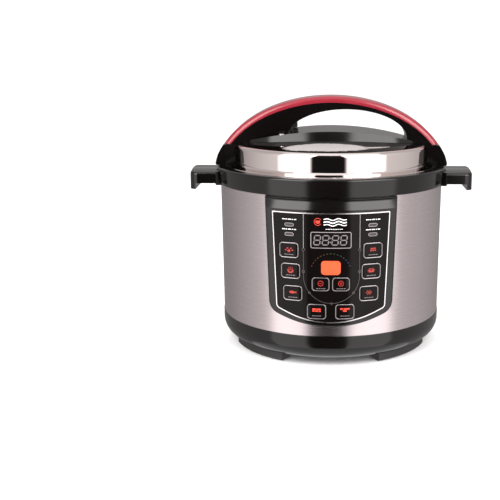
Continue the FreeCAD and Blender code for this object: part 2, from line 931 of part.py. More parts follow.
sensor_top_z = pot_floor_z - seat_gap
spring_foot_z = liner_floor_z + liner_wall
parts["outer_pot"] = outer_pot()
parts["outer_pot_struts"] = group([strut(360 / strut_count * (k + 0.5)) for k in range(strut_count)])
parts["heating_plate"] = heating_plate()
parts["heating_element"] = heating_element()
parts["sensor_spring"] = ring(spring_radius - spring_wall, spring_radius, spring_foot_z, sensor_top_z - sensor_wall)
parts["temperature_sensor"] = lathe([
    (0, sensor_top_z),
    (sensor_radius, sensor_top_z, 1.0),
    (sensor_radius, sensor_top_z - sensor_height),
    (sensor_radius - sensor_wall, sensor_top_z - sensor_height),
    (sensor_radius - sensor_wall, sensor_top_z - sensor_wall),
    (0, sensor_top_z - sensor_wall),
])
parts["pressure_switch"] = block(-12, 12, -52, -38, liner_floor_z - 15, liner_floor_z)
parts["thermal_fuse"] = Part.makeCylinder(2.2, 14, Vec(28, -30, liner_floor_z - 2.2), Vec(0, -1, 0))

# ---------------------------------------------------------------- inner pot
parts["inner_pot"] = lathe([
    (0, pot_floor_z),
    (pot_radius, pot_floor_z, pot_bottom_round),
    (pot_radius, pot_rim_z),
    (pot_radius + pot_rim_width, pot_rim_z),
    (pot_radius + pot_rim_width, pot_top_z, 0.8),
    (pot_radius - pot_wall, pot_top_z, 1.2),
    (pot_radius - pot_wall, pot_floor_z + pot_wall, pot_bottom_round - pot_wall),
    (0, pot_floor_z + pot_wall),
])

# ---------------------------------------------------------------- power board in the base
power_top_z = power_z + board_wall
parts["power_board"] = block(-46, 46, 12, 72, power_z, power_top_z)
parts["power_components"] = group([
    block(-38, -18, 26, 42, power_top_z, power_top_z + 16),
    block(6, 34, 24, 48, power_top_z, power_top_z + 22),
    rod(6.0, power_top_z, power_top_z + 18, -8, 56),
])

# ---------------------------------------------------------------- mains inlet
inlet_back_y = casing_radius + inlet_flange
inlet_front_y = inlet_back_y - 25.0
inlet_floor_y = inlet_back_y - 18.0
pin_places = [(-7.0, -2.0), (7.0, -2.0), (0.0, 2.0)]


def inlet_blade(x, z):
    """One flat contact through the socket's floor."""
    return block(x - 1.0, x + 1.0, inlet_front_y - 2.5, inlet_floor_y + 13,
                 inlet_z + z - 2.0, inlet_z + z + 2.0)


def inlet_socket():
    """A flanged appliance inlet with its six-sided recess."""
    w, h = inlet_half_width, inlet_half_height
    body = prism_back(rectangle(0, inlet_z, 2 * w, 2 * h, 2.0), inlet_front_y, inlet_back_y)
    flange = prism_back(rectangle(0, inlet_z, 2 * w + 7, 2 * h + 7, 3.0), casing_radius - 5, inlet_back_y)
    flange = flange.cut(ring(0, casing_radius + fit_gap, inlet_z - 30, inlet_z + 30))
    recess = prism_back([
        (-w + inlet_wall, inlet_z - h + inlet_wall, 1.0),
        (w - inlet_wall, inlet_z - h + inlet_wall, 1.0),
        (w - inlet_wall, inlet_z + h - inlet_wall - 5, 1.0),
        (w - inlet_wall - 5, inlet_z + h - inlet_wall, 1.0),
        (-w + inlet_wall + 5, inlet_z + h - inlet_wall, 1.0),
        (-w + inlet_wall, inlet_z + h - inlet_wall - 5, 1.0),
    ], inlet_floor_y, inlet_back_y)
    body = fused([body, flange]).cut(recess)
    for x, z in pin_places:
        body = body.cut(inlet_blade(x, z))
    return body


parts["inlet_socket"] = inlet_socket()
parts["inlet_pins"] = group([inlet_blade(x, z) for x, z in pin_places])

# ---------------------------------------------------------------- condensate drain, rails and box
box_top_z = casing_top_z - box_top_drop
box_back_y = casing_radius + box_reach
rail_top_z = box_top_z - 6.0
rib_z = rail_top_z - rail_height / 2
hollow_gap = 0.6


def drain_spout():
    """An elbow from the trough's drain out through the casing."""
    top_z = trough_floor_z - collar_wall
    end_y = casing_radius + 8.0
    down = rod(spout_radius, spout_z, top_z, 0, drain_circle)
    out = rod_y(spout_radius, drain_circle - spout_radius, end_y, 0, spout_z)
    elbow = fused([down, out])
    elbow = elbow.cut(rod(drain_radius, spout_z, top_z, 0, drain_circle))
    elbow = elbow.cut(rod_y(drain_radius, drain_circle, end_y - 1.2, 0, spout_z))
    return elbow.cut(rod(drain_radius - 0.6, spout_z - 6, spout_z, 0, end_y - 4.4))


def box_rail(side):
    """A grooved rail on the casing that the box's rib runs in."""
    inner = box_half_width + clearance
    xs = sorted([side * inner, side * (inner + rail_width)])
    groove = sorted([side * inner, side * (inner + rib_width + clearance)])
    rail = block(xs[0], xs[1], casing_radius - 25, box_back_y - 3, rail_top_z - rail_height, rail_top_z)
    rail = rail.cut(block(groove[0], groove[1], 0, box_back_y,
                          rib_z - rib_height / 2 - clearance, rib_z + rib_height / 2 + clearance))
    return rail.cut(ring(0, casing_radius + fit_gap, rail_top_z - 20, rail_top_z + 5))


def condensate_box():
    """A shallow open box, hollowed to the casing's curve, with a rib along each side."""
    w = box_wall
    inner_radius = casing_radius + hollow_gap
    low = box_top_z - box_height
    outer = prism_up([
        (-box_half_width, 100), (box_half_width, 100),
        (box_half_width, box_back_y, 4.0), (-box_half_width, box_back_y, 4.0),
    ], low, box_top_z)
    hollow = prism_up([
        (-box_half_width + w, 100), (box_half_width - w, 100),
        (box_half_width - w, box_back_y - w, 2.5), (-box_half_width + w, box_back_y - w, 2.5),
    ], low + w, box_top_z + 1)
    hollow = hollow.cut(ring(0, inner_radius + w, low, box_top_z + 2))
    rib = block(-box_half_width - rib_width, box_half_width + rib_width, 100, box_back_y - 4,
                rib_z - rib_height / 2, rib_z + rib_height / 2)
    body = fused([outer, rib]).cut(hollow)
    return body.cut(ring(0, inner_radius, low - 1, box_top_z + 1))


parts["drain_spout"] = drain_spout()
parts["condensate_rails"] = group([box_rail(-1), box_rail(1)])
parts["condensate_box"] = condensate_box()

# ---------------------------------------------------------------- lid

def dome_face(top, rim_radius, low):
    """A half section under the dome's curve: an arc from the crest to the rim, closed below."""
    chord = rim_radius
    rise = lid_dome_rise
    curve = (chord ** 2 + rise ** 2) / (2 * rise)
    half_angle = math.asin(chord / curve) / 2
    middle = Vec(curve * math.sin(half_angle), 0, top - curve * (1 - math.cos(half_angle)))
    crest = Vec(0, 0, top)
    rim = Vec(chord, 0, top - rise)
    edges = [
        Part.Arc(crest, middle, rim).toShape(),
        Part.LineSegment(rim, Vec(chord, 0, low)).toShape(),
        Part.LineSegment(Vec(chord, 0, low), Vec(0, 0, low)).toShape(),
        Part.LineSegment(Vec(0, 0, low), crest).toShape(),
    ]
    return Part.Face(Part.Wire(edges))


def domed_drum(top, radius, low, edge_round):
    """A drum with a domed top and a rounded shoulder."""
    solid = dome_face(top, radius, low).revolve(Vec(0, 0, 0), Vec(0, 0, 1), 360)
    shoulder = [e for e in solid.Edges
                if abs(e.BoundBox.ZMax - (top - lid_dome_rise)) < 0.01 and abs(e.BoundBox.XMax - radius) < 0.01
                and e.BoundBox.ZLength < 0.01]
    return solid.makeFillet(edge_round, shoulder)


def dome_underside(radius):
    """The height of the dome's inner face at a distance from the pot's axis."""
    inner_radius = lid_side_radius - lid_wall
    curve = (inner_radius ** 2 + lid_dome_rise ** 2) / (2 * lid_dome_rise)
    return lid_crest_z - lid_wall - curve + math.sqrt(curve ** 2 - radius ** 2)


def lid_envelope(grow=0.0):
    """The lid as a filled solid, grown outwards, that the handle is fitted to."""
    drum = domed_drum(lid_crest_z + grow, lid_side_radius + grow, lid_side_foot_z - 1, lid_corner_round)
    rim = lathe([
        (0, lid_rim_z - lid_skirt_depth),
        (skirt_outer_radius + grow, lid_rim_z - lid_skirt_depth),
        (skirt_outer_radius + grow, lid_rim_z + grow),
        (lid_side_radius + 1.5 + grow, lid_side_foot_z - 0.5 + grow),
        (lid_side_radius + grow, lid_side_foot_z + 1.5 + grow),
        (0, lid_side_foot_z + 1.5 + grow),
    ])
    return drum.fuse(rim)


def lid_shell():
    """The pressed lid: dome, side, rolled rim and a skirt with inward teeth."""
    outer_drum = domed_drum(lid_crest_z, lid_side_radius, lid_side_foot_z - 1, lid_corner_round)
    inner_drum = domed_drum(lid_crest_z - lid_wall, lid_side_radius - lid_wall, lid_rim_z - 2,
                            lid_corner_round - lid_wall)
    w = lid_wall
    skirt_bottom = lid_rim_z - lid_skirt_depth
    rim = lathe([
        (lid_side_radius - w, lid_side_foot_z - w),
        (skirt_inner_radius - 1.5, lid_rim_z - w, 1.0),
        (skirt_inner_radius, lid_rim_z - 2.6, 1.0),
        (skirt_inner_radius, skirt_bottom),
        (skirt_outer_radius, skirt_bottom),
        (skirt_outer_radius, lid_rim_z, 1.8),
        (lid_side_radius + 1.5, lid_side_foot_z - 0.5, 1.0),
        (lid_side_radius, lid_side_foot_z + 1.5),
        (lid_side_radius - w, lid_side_foot_z + 1.5),
    ])
    pieces = [outer_drum.cut(inner_drum), rim]
    for k in range(tooth_count):
        pieces.append(ring(flange_radius + running_gap, skirt_inner_radius + 0.5,
                           lid_tooth_bottom_z, lid_tooth_top_z,
                           tooth_span_deg, tooth_pitch * k - tooth_span_deg / 2))
    body = fused(pieces)
    body = body.cut(rod(vent_stem_radius, lid_rim_z, boat_top_z, vent_x, vent_y))
    body = body.cut(rod(float_guide_radius, lid_rim_z, boat_top_z, float_x, float_y))
    for x, y in handle_screw_places:
        body = body.cut(rod(screw_radius + fit_gap, lid_rim_z, boat_top_z, x, y))
    return body


handle_screw_x = lid_side_radius - handle_screw_inset
handle_screw_places = [(sx * handle_screw_x, sy * handle_screw_spread) for sx in (-1, 1) for sy in (-1, 1)]
gasket_outer_radius = lid_side_radius - lid_wall - clearance
gasket_inner_radius = gasket_outer_radius - gasket_width
gasket_foot_z = pot_top_z + seat_gap


def sealing_gasket():
    """The silicone ring: a body with a groove for its wire ring and a lip over the pot's rim."""
    top = gasket_foot_z + gasket_height
    middle = (gasket_foot_z + top) / 2
    lip = gasket_lip
    return lathe([
        (gasket_inner_radius + lip, gasket_foot_z, 0.6),
        (gasket_outer_radius, gasket_foot_z, 1.0),
        (gasket_outer_radius, top, 1.0),
        (gasket_inner_radius, top, 0.6),
        (gasket_inner_radius, middle + gasket_ring_height / 2),
        (gasket_inner_radius + lip, middle + gasket_ring_height / 2),
        (gasket_inner_radius + lip, middle - gasket_ring_height / 2),
        (gasket_inner_radius, middle - gasket_ring_height / 2),
        (gasket_inner_radius, gasket_foot_z + 1.2),
    ])


ring_low_z = gasket_foot_z + (gasket_height - gasket_ring_height) / 2
parts["sealing_gasket"] = sealing_gasket()
parts["gasket_ring"] = ring(gasket_inner_radius + gasket_lip - gasket_ring_width, gasket_inner_radius + gasket_lip,
                            ring_low_z, ring_low_z + gasket_ring_height)
parts["lid_shell"] = lid_shell()

# ---------------------------------------------------------------- lid handle
boat_curve_radius = (boat_half_length ** 2 + boat_end_drop ** 2) / (2 * boat_end_drop)


def ellipse_prism(centre_x, centre_z, half_width, half_height, depth):
    """An elliptical cylinder along Y."""
    edge = Part.Ellipse(Vec(0, 0, 0), max(half_width, half_height), min(half_width, half_height)).toShape()
    if half_height > half_width:
        edge.rotate(Vec(0, 0, 0), Vec(0, 0, 1), 90)
    edge.rotate(Vec(0, 0, 0), Vec(1, 0, 0), 90)
    edge.translate(Vec(centre_x, -depth / 2, centre_z))
    return Part.Face(Part.Wire([edge])).extrude(Vec(0, depth, 0))


def boat_blank(inset):
    """The boat's outer form, drawn in by an inset: a drafted ellipse in plan under an arched top."""
    plans = []
    for height, end_draft, side_draft in [(lid_side_top_z - 1, 0, 0), (boat_top_z, boat_end_draft, boat_side_draft)]:
        plan = Part.Ellipse(Vec(0, 0, height), boat_half_length - end_draft - inset,
                            boat_half_depth - side_draft - inset)
        plans.append(Part.Wire([plan.toShape()]))
    arch = Part.makeCylinder(boat_curve_radius - inset, 200, Vec(0, -100, boat_top_z - boat_curve_radius),
                             Vec(0, 1, 0))
    return Part.makeLoft(plans, True, True).common(arch)


vent_boss_z = boat_top_z - 2.5


def lid_handle_base():
    """The hollow plate on the dome, with a seat for the steam valve and a hole for the float."""
    boss = rod(vent_boss_radius, lid_crest_z, vent_boss_z, vent_x, vent_y)
    body = fused([boat_blank(0), boss]).cut(boat_blank(boat_wall).cut(boss))
    body = body.cut(lid_envelope(fit_gap))
    body = body.cut(rod(vent_stem_radius + fit_gap, lid_rim_z, boat_top_z + 5, vent_x, vent_y))
    body = body.cut(rod(float_pin_radius + clearance, lid_rim_z, boat_top_z + 5, float_x, float_y))
    body = body.cut(rod(float_guide_radius + clearance, lid_rim_z, guide_top_z + clearance, float_x, float_y))
    for x, y in handle_screw_places:
        body = body.cut(rod(screw_radius + fit_gap, lid_rim_z, boat_top_z + 5, x, y))
    return body


def handle_plan(half_grip, half_leg, reach):
    """The handle seen from above: a waisted bar, widest at its ends."""
    return prism_up([
        (-reach, -half_leg), (-reach * 0.62, -half_leg, 60), (0, -half_grip, 160), (reach * 0.62, -half_leg, 60),
        (reach, -half_leg), (reach, half_leg), (reach * 0.62, half_leg, 60), (0, half_grip, 160),
        (-reach * 0.62, half_leg, 60), (-reach, half_leg),
    ], handle_foot_z, handle_top_z + 5)


def on_arch(edge, inset):
    """True for an edge that lies on the arch's elliptical top."""
    for point in edge.discretize(4):
        across = point.x / (handle_half_span - inset)
        up = (point.z - handle_centre_z) / (handle_rise - inset)
        if abs(math.hypot(across, up) - 1) > 1e-3:
            return False
    return edge.BoundBox.XLength > 0.01


def handle_bar(inset):
    """The arch of the handle, drawn in by an inset on its top and sides, its top edges rounded."""
    arch = ellipse_prism(0, handle_centre_z, handle_half_span - inset, handle_rise - inset, 200)
    plan = handle_plan(handle_grip_width / 2 - inset, handle_leg_width / 2 - inset, handle_half_span + 5)
    bar = arch.common(plan)
    return bar.makeFillet(handle_edge_round - inset, [e for e in bar.Edges if on_arch(e, inset)])


def cover_band():
    """The upper band of the arch that the coloured cover takes up."""
    below = ellipse_prism(0, handle_centre_z, handle_half_span - cover_band_end,
                          handle_rise - cover_band_height, 220)
    high = block(-200, 200, -100, 100, handle_foot_z + cover_end_height, handle_top_z + 10)
    return high.cut(below)


def end_flange(side):
    """The wide foot at one end of the handle, curved round the lid's side."""
    half = math.degrees(math.asin(handle_flange_half_width / (lid_side_radius + 8)))
    start = -half if side > 0 else 180 - half
    flange = lathe([
        (handle_flange_inner_radius, handle_foot_z),
        (handle_end_radius, handle_foot_z, 1.5),
        (handle_end_radius - 6, handle_foot_z + handle_flange_height, 8.0),
        (handle_flange_inner_radius, handle_foot_z + handle_flange_height),
    ], 2 * half, start)
    crown = Part.makeCylinder(handle_flange_crown, 400,
                              Vec(-200, 0, handle_foot_z + handle_flange_height - handle_flange_crown),
                              Vec(1, 0, 0))
    return flange.common(ellipse_prism(0, handle_centre_z, handle_half_span, handle_rise, 200)).common(crown)


def handle_screw(x, y):
    """A screw up through the lid and the boat into the handle."""
    head_z = dome_underside(math.hypot(x, y) + screw_head_radius) - seat_gap
    head = rod(screw_head_radius, head_z - screw_head_height, head_z, x, y)
    return head.fuse(rod(screw_radius, head_z, head_z + handle_screw_length, x, y))


def lid_handle_body():
    """The black arch: two legs, wide end flanges and a core that the cover clips over."""
    core = handle_bar(handle_core_wall)
    body = handle_bar(0).cut(cover_band()).fuse(core).fuse([end_flange(-1), end_flange(1)])
    body = body.cut(ellipse_prism(grip_centre_x, opening_centre_z, grip_half_width, grip_opening_height, 220))
    body = body.cut(boat_blank(-fit_gap))
    body = body.cut(lid_envelope(fit_gap))
    for x, y in handle_screw_places:
        body = body.cut(handle_screw(x, y))
    body = body.cut(handle_bar(0).common(cover_band()).cut(core))
    return body.cut(rod(vent_boss_radius + clearance, lid_crest_z, handle_top_z, vent_x, vent_y))


def lid_handle_cover():
    """The coloured cap over the top of the arch."""
    cap = handle_bar(0).common(cover_band())
    return cap.cut(handle_bar(handle_core_wall - fit_gap))


parts["lid_handle_base"] = lid_handle_base()
parts["lid_handle_body"] = lid_handle_body()
parts["lid_handle_cover"] = lid_handle_cover()
parts["lid_handle_screws"] = group([handle_screw(x, y) for x, y in handle_screw_places])

# ---------------------------------------------------------------- steam valve
nut_top_z = dome_underside(math.hypot(vent_x, vent_y) + vent_nut_radius) - seat_gap
nut_bottom_z = nut_top_z - 4.0
stem_top_z = vent_boss_z + 5.0
knob_foot_z = vent_boss_z + running_gap
knob_top_z = knob_foot_z + vent_knob_height
weight_radius = vent_knob_radius - vent_knob_wall
weight_top_z = knob_top_z - 3.0
screen_radius = vent_nut_radius + 2.0


def vent_knob():
    """A round cap with a pointer tab, turning on the weight inside it."""
    cap = lathe_at(vent_x, vent_y, [
        (0, knob_top_z),
        (vent_knob_radius - 1.0, knob_top_z, 2.5),
        (vent_knob_radius, knob_foot_z, 1.0),
        (weight_radius + seat_gap, knob_foot_z),
        (weight_radius + seat_gap, weight_top_z + seat_gap),
        (0, weight_top_z + seat_gap),
    ])
    tab = block(vent_x - vent_knob_radius - 7, vent_x - vent_knob_radius + 3, vent_y - 2.5, vent_y + 2.5,
                knob_top_z - 7, knob_top_z - 2)
    return fused([cap, tab.cut(rod(weight_radius + 1.5, knob_foot_z, knob_top_z, vent_x, vent_y))])


parts["vent_stem"] = lathe_at(vent_x, vent_y, [
    (vent_bore_radius, nut_bottom_z),
    (vent_nut_radius, nut_bottom_z, 0.8),
    (vent_nut_radius, nut_top_z, 0.8),
    (vent_stem_radius, nut_top_z),
    (vent_stem_radius, stem_top_z),
    (vent_bore_radius, stem_top_z),
])
parts["vent_weight"] = lathe_at(vent_x, vent_y, [
    (0, stem_top_z - 3),
    (vent_bore_radius - pin_gap, stem_top_z - 3),
    (vent_bore_radius - pin_gap, stem_top_z + seat_gap),
    (vent_stem_radius + clearance, stem_top_z + seat_gap),
    (vent_stem_radius + clearance, knob_foot_z + 0.5),
    (weight_radius, knob_foot_z + 0.5, 0.5),
    (weight_radius, weight_top_z),
    (0, weight_top_z),
])
parts["vent_knob"] = vent_knob()
parts["anti_block_screen"] = lathe_at(vent_x, vent_y, [
    (0, nut_bottom_z - 9),
    (screen_radius, nut_bottom_z - 9, 2.5),
    (screen_radius, nut_bottom_z),
    (screen_radius - 0.9, nut_bottom_z),
    (screen_radius - 0.9, nut_bottom_z - 8.1, 1.6),
    (0, nut_bottom_z - 8.1),
])

# ---------------------------------------------------------------- float valve
seal_top_z = guide_foot_z - float_travel - seat_gap
seal_foot_z = seal_top_z - 1.6
pin_foot_z = seal_foot_z - 2.0
boat_z_at_float = boat_top_z - float_x ** 2 / (2 * boat_curve_radius)

parts["float_guide"] = lathe_at(float_x, float_y, [
    (float_pin_radius + pin_gap, guide_foot_z),
    (float_guide_radius, guide_foot_z),
    (float_guide_radius, guide_top_z, 0.6),
    (float_pin_radius + pin_gap, guide_top_z),
])
parts["float_pin"] = lathe_at(float_x, float_y, [
    (0, pin_foot_z),
    (float_flange_radius, pin_foot_z, 0.6),
    (float_flange_radius, seal_foot_z),
    (float_pin_radius, seal_foot_z),
    (float_pin_radius, boat_z_at_float + 1.2, 1.0),
    (0, boat_z_at_float + 1.2),
])
parts["float_seal"] = lathe_at(float_x, float_y, [
    (float_pin_radius, seal_foot_z),
    (float_flange_radius - 0.6, seal_foot_z),
    (float_flange_radius - 0.6, seal_top_z, 0.5),
    (float_pin_radius, seal_top_z),
])

# ---------------------------------------------------------------- one file for each piece
os.makedirs("parts", exist_ok=True)
for name, shape in parts.items():
    if not shape.isValid() or shape.Volume <= 0:
        print("CHECK", name, shape.isValid(), shape.Volume)
    shape.exportStep("parts/" + name + ".step")
print(len(parts), "pieces")
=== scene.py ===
"""The electric pressure cooker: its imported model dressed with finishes, printed marks and key lenses."""

import math

import bmesh
import bpy
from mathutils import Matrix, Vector
import numpy as np


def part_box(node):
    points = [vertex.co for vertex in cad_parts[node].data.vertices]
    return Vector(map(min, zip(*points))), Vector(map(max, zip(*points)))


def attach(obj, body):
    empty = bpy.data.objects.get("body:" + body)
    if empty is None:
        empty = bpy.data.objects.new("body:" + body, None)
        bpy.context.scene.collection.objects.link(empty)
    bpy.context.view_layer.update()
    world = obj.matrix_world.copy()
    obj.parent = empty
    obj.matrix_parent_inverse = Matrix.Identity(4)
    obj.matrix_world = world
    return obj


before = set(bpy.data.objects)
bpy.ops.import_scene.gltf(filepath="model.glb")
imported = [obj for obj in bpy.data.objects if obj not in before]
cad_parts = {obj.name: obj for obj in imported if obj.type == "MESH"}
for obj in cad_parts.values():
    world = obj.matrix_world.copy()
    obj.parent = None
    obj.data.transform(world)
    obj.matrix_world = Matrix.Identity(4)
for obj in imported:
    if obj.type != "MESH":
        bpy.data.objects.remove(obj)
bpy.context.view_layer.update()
scene = bpy.context.scene
scene.view_settings.view_transform = "Standard"


# Feet and foot pads: four curved blocks of polypropylene under the base, each with a black rubber pad
# clicked into it. They are moulded with a fine spark texture, so they look dull beside the polished base.


def linear(colour):
    """An sRGB hex colour as linear RGBA: each channel c is c / 12.92 when dark, else
    ((c + 0.055) / 1.055) to the power 2.4."""
    parts = np.array([int(colour[i:i + 2], 16) for i in (1, 3, 5)]) / 255
    curve = np.where(parts <= 0.04045, parts / 12.92, ((parts + 0.055) / 1.055) ** 2.4)
    return (*curve.tolist(), 1.0)


def add(tree, kind, settings=None, values=None, links=None):
    """Adds one node with its settings, the values of its inputs, and what feeds each of them."""
    node = tree.nodes.new(kind)
    for key, value in (settings or {}).items():
        setattr(node, key, value)
    for key, value in (values or {}).items():
        node.inputs[key].default_value = value
    for key, source in (links or {}).items():
        tree.links.new(source, node.inputs[key])
    return node


def finish_named(name, **sockets):
    """A new material with one Principled shader whose uniform sockets are set here."""
    material = bpy.data.materials.new(name)
    material.use_nodes = True
    tree = material.node_tree
    shader = tree.nodes["Principled BSDF"]
    for key, value in sockets.items():
        shader.inputs[key.replace("_", " ")].default_value = value
    place = add(tree, "ShaderNodeTexCoord").outputs["Object"]
    return material, tree, shader, place


def dress(material, *nodes):
    """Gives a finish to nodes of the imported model."""
    for name in nodes:
        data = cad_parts[name].data
        data.materials.clear()
        data.materials.append(material)


# Spark-textured polypropylene: matt black with a 1 mm grain that breaks up the light.
spark_black, tree, shader, place = finish_named("spark_textured_polypropylene", IOR=1.49)
grain = add(tree, "ShaderNodeTexNoise", values={"Scale": 950.0, "Detail": 3.0}, links={"Vector": place})
cloud = add(tree, "ShaderNodeTexNoise", values={"Scale": 35.0, "Detail": 2.0}, links={"Vector": place})
shade = add(tree, "ShaderNodeMix", {"data_type": "RGBA"}, links={0: cloud.outputs["Fac"]})
shade.inputs[6].default_value = linear("#100E0F")
shade.inputs[7].default_value = linear("#221F20")
gloss = add(tree, "ShaderNodeMapRange", values={"To Min": 0.42, "To Max": 0.58},
            links={"Value": cloud.outputs["Fac"]})
relief = add(tree, "ShaderNodeBump", values={"Strength": 0.25, "Distance": 0.0002},
             links={"Height": grain.outputs["Fac"]})
tree.links.new(shade.outputs[2], shader.inputs["Base Color"])
tree.links.new(gloss.outputs["Result"], shader.inputs["Roughness"])
tree.links.new(relief.outputs["Normal"], shader.inputs["Normal"])
dress(spark_black, "feet", "drain_spout", "condensate_rails", "inlet_socket", "pressure_switch",
      "thermal_fuse")

# Nitrile rubber: near black, dry, with a faint dusty bloom about 8 mm across.
pad_rubber, tree, shader, place = finish_named("nitrile_rubber", IOR=1.52)
bloom = add(tree, "ShaderNodeTexNoise", values={"Scale": 120.0, "Detail": 4.0}, links={"Vector": place})
shade = add(tree, "ShaderNodeMix", {"data_type": "RGBA"}, links={0: bloom.outputs["Fac"]})
shade.inputs[6].default_value = linear("#141415")
shade.inputs[7].default_value = linear("#262526")
gloss = add(tree, "ShaderNodeMapRange", values={"To Min": 0.65, "To Max": 0.85},
            links={"Value": bloom.outputs["Fac"]})
tree.links.new(shade.outputs[2], shader.inputs["Base Color"])
tree.links.new(gloss.outputs["Result"], shader.inputs["Roughness"])
dress(pad_rubber, "foot_pads")


# Base shell: a deep tray of polished black ABS that carries the feet and holds the foot of the casing.
# The same polished ABS makes the collar, the side handles, the panel bezel and the lid's handle.

# Polished ABS: deep black with a slight orange peel, about 9 mm from wave to wave, from the mould.
polished_abs, tree, shader, place = finish_named("polished_black_abs", IOR=1.43)
flow = add(tree, "ShaderNodeTexNoise", values={"Scale": 18.0, "Detail": 2.0}, links={"Vector": place})
peel = add(tree, "ShaderNodeTexNoise", values={"Scale": 110.0, "Detail": 1.0}, links={"Vector": place})
shade = add(tree, "ShaderNodeMix", {"data_type": "RGBA"}, links={0: flow.outputs["Fac"]})
shade.inputs[6].default_value = linear("#060404")
shade.inputs[7].default_value = linear("#0D0A0A")
gloss = add(tree, "ShaderNodeMapRange", values={"To Min": 0.09, "To Max": 0.16},
            links={"Value": flow.outputs["Fac"]})
relief = add(tree, "ShaderNodeBump", values={"Strength": 0.06, "Distance": 0.0004},
             links={"Height": peel.outputs["Fac"]})
tree.links.new(shade.outputs[2], shader.inputs["Base Color"])
tree.links.new(gloss.outputs["Result"], shader.inputs["Roughness"])
tree.links.new(relief.outputs["Normal"], shader.inputs["Normal"])
dress(polished_abs, "base_shell", "top_collar", "side_handle_left", "side_handle_right", "panel_bezel")
dress(polished_abs, "lid_handle_base", "lid_handle_body")


# Bottom cover and its screws: a disc of galvanised sheet with vent slots, pressed to fit the tray's hole.
# The zinc shows flat spangles about 6 mm across; the screws are satin stainless steel.

# Hot-dip galvanised sheet: grey zinc crystals, each with its own brightness.
galvanised, tree, shader, place = finish_named("galvanised_sheet", Metallic=1.0)
spangle = add(tree, "ShaderNodeTexVoronoi", values={"Scale": 160.0}, links={"Vector": place})
tone = add(tree, "ShaderNodeSeparateColor", links={"Color": spangle.outputs["Color"]})
shade = add(tree, "ShaderNodeMix", {"data_type": "RGBA"}, links={0: tone.outputs["Red"]})
shade.inputs[6].default_value = linear("#9A9DA0")
shade.inputs[7].default_value = linear("#C3C6C8")
gloss = add(tree, "ShaderNodeMapRange", values={"To Min": 0.32, "To Max": 0.55},
            links={"Value": tone.outputs["Green"]})
tree.links.new(shade.outputs[2], shader.inputs["Base Color"])
tree.links.new(gloss.outputs["Result"], shader.inputs["Roughness"])
dress(galvanised, "bottom_cover")

# Satin stainless steel: turned parts with a fine grain, drawn here 0.6 mm across.
satin_steel, tree, shader, place = finish_named("satin_stainless_steel", Metallic=1.0)
turning = add(tree, "ShaderNodeTexNoise", values={"Scale": 1600.0, "Detail": 2.0}, links={"Vector": place})
haze = add(tree, "ShaderNodeTexNoise", values={"Scale": 60.0, "Detail": 3.0}, links={"Vector": place})
shade = add(tree, "ShaderNodeMix", {"data_type": "RGBA"}, links={0: haze.outputs["Fac"]})
shade.inputs[6].default_value = linear("#A7A4A2")
shade.inputs[7].default_value = linear("#C9C5C2")
gloss = add(tree, "ShaderNodeMapRange", values={"To Min": 0.2, "To Max": 0.38},
            links={"Value": turning.outputs["Fac"]})
tree.links.new(shade.outputs[2], shader.inputs["Base Color"])
tree.links.new(gloss.outputs["Result"], shader.inputs["Roughness"])
dress(satin_steel, "base_screws", "side_handle_screws", "lid_handle_screws", "outer_pot_struts",
      "gasket_ring")
dress(satin_steel, "float_pin", "float_guide", "vent_stem", "anti_block_screen", "inlet_pins")


# Outer casing: a sleeve of stainless sheet 0.8 mm thick, brushed round and round before it is rolled up.
# The brushing leaves level lines, so highlights smear up and down into soft upright bands.

# Brushed stainless steel: the lines are drawn about 0.6 mm apart, coarser than the real ones, to show.
brushed_steel, tree, shader, place = finish_named("brushed_stainless_steel", Metallic=1.0)
stretch = add(tree, "ShaderNodeMapping", values={"Scale": (9.0, 9.0, 1700.0)}, links={"Vector": place})
lines = add(tree, "ShaderNodeTexNoise", values={"Scale": 1.0, "Detail": 4.0, "Roughness": 0.65},
            links={"Vector": stretch.outputs["Vector"]})
shade = add(tree, "ShaderNodeMix", {"data_type": "RGBA"}, links={0: lines.outputs["Fac"]})
shade.inputs[6].default_value = linear("#BAB0B2")
shade.inputs[7].default_value = linear("#C9BFC1")
gloss = add(tree, "ShaderNodeMapRange", values={"To Min": 0.2, "To Max": 0.32},
            links={"Value": lines.outputs["Fac"]})
relief = add(tree, "ShaderNodeBump", values={"Strength": 0.05, "Distance": 0.0001},
             links={"Height": lines.outputs["Fac"]})
tree.links.new(shade.outputs[2], shader.inputs["Base Color"])
tree.links.new(gloss.outputs["Result"], shader.inputs["Roughness"])
tree.links.new(relief.outputs["Normal"], shader.inputs["Normal"])
dress(brushed_steel, "outer_casing")


# Outer pot: the pressure vessel that takes the inner pot and carries the locking teeth at its mouth.
# It is pressed steel with a grey vitreous enamel, smooth as glass and lightly mottled.

# Vitreous enamel: light grey glass fused on steel, with a 12 mm mottle.
enamel, tree, shader, place = finish_named("grey_vitreous_enamel", IOR=1.52, Roughness=0.14)
mottle = add(tree, "ShaderNodeTexNoise", values={"Scale": 85.0, "Detail": 5.0}, links={"Vector": place})
shade = add(tree, "ShaderNodeMix", {"data_type": "RGBA"}, links={0: mottle.outputs["Fac"]})
shade.inputs[6].default_value = linear("#8F9294")
shade.inputs[7].default_value = linear("#B0B2B3")
tree.links.new(shade.outputs[2], shader.inputs["Base Color"])
dress(enamel, "outer_pot")


# Heating plate, element and sensor: a cast aluminium disc clamped on its sheathed element, with a sprung
# aluminium button through its middle that feels the pot. The casting is ground flat and bead blasted.

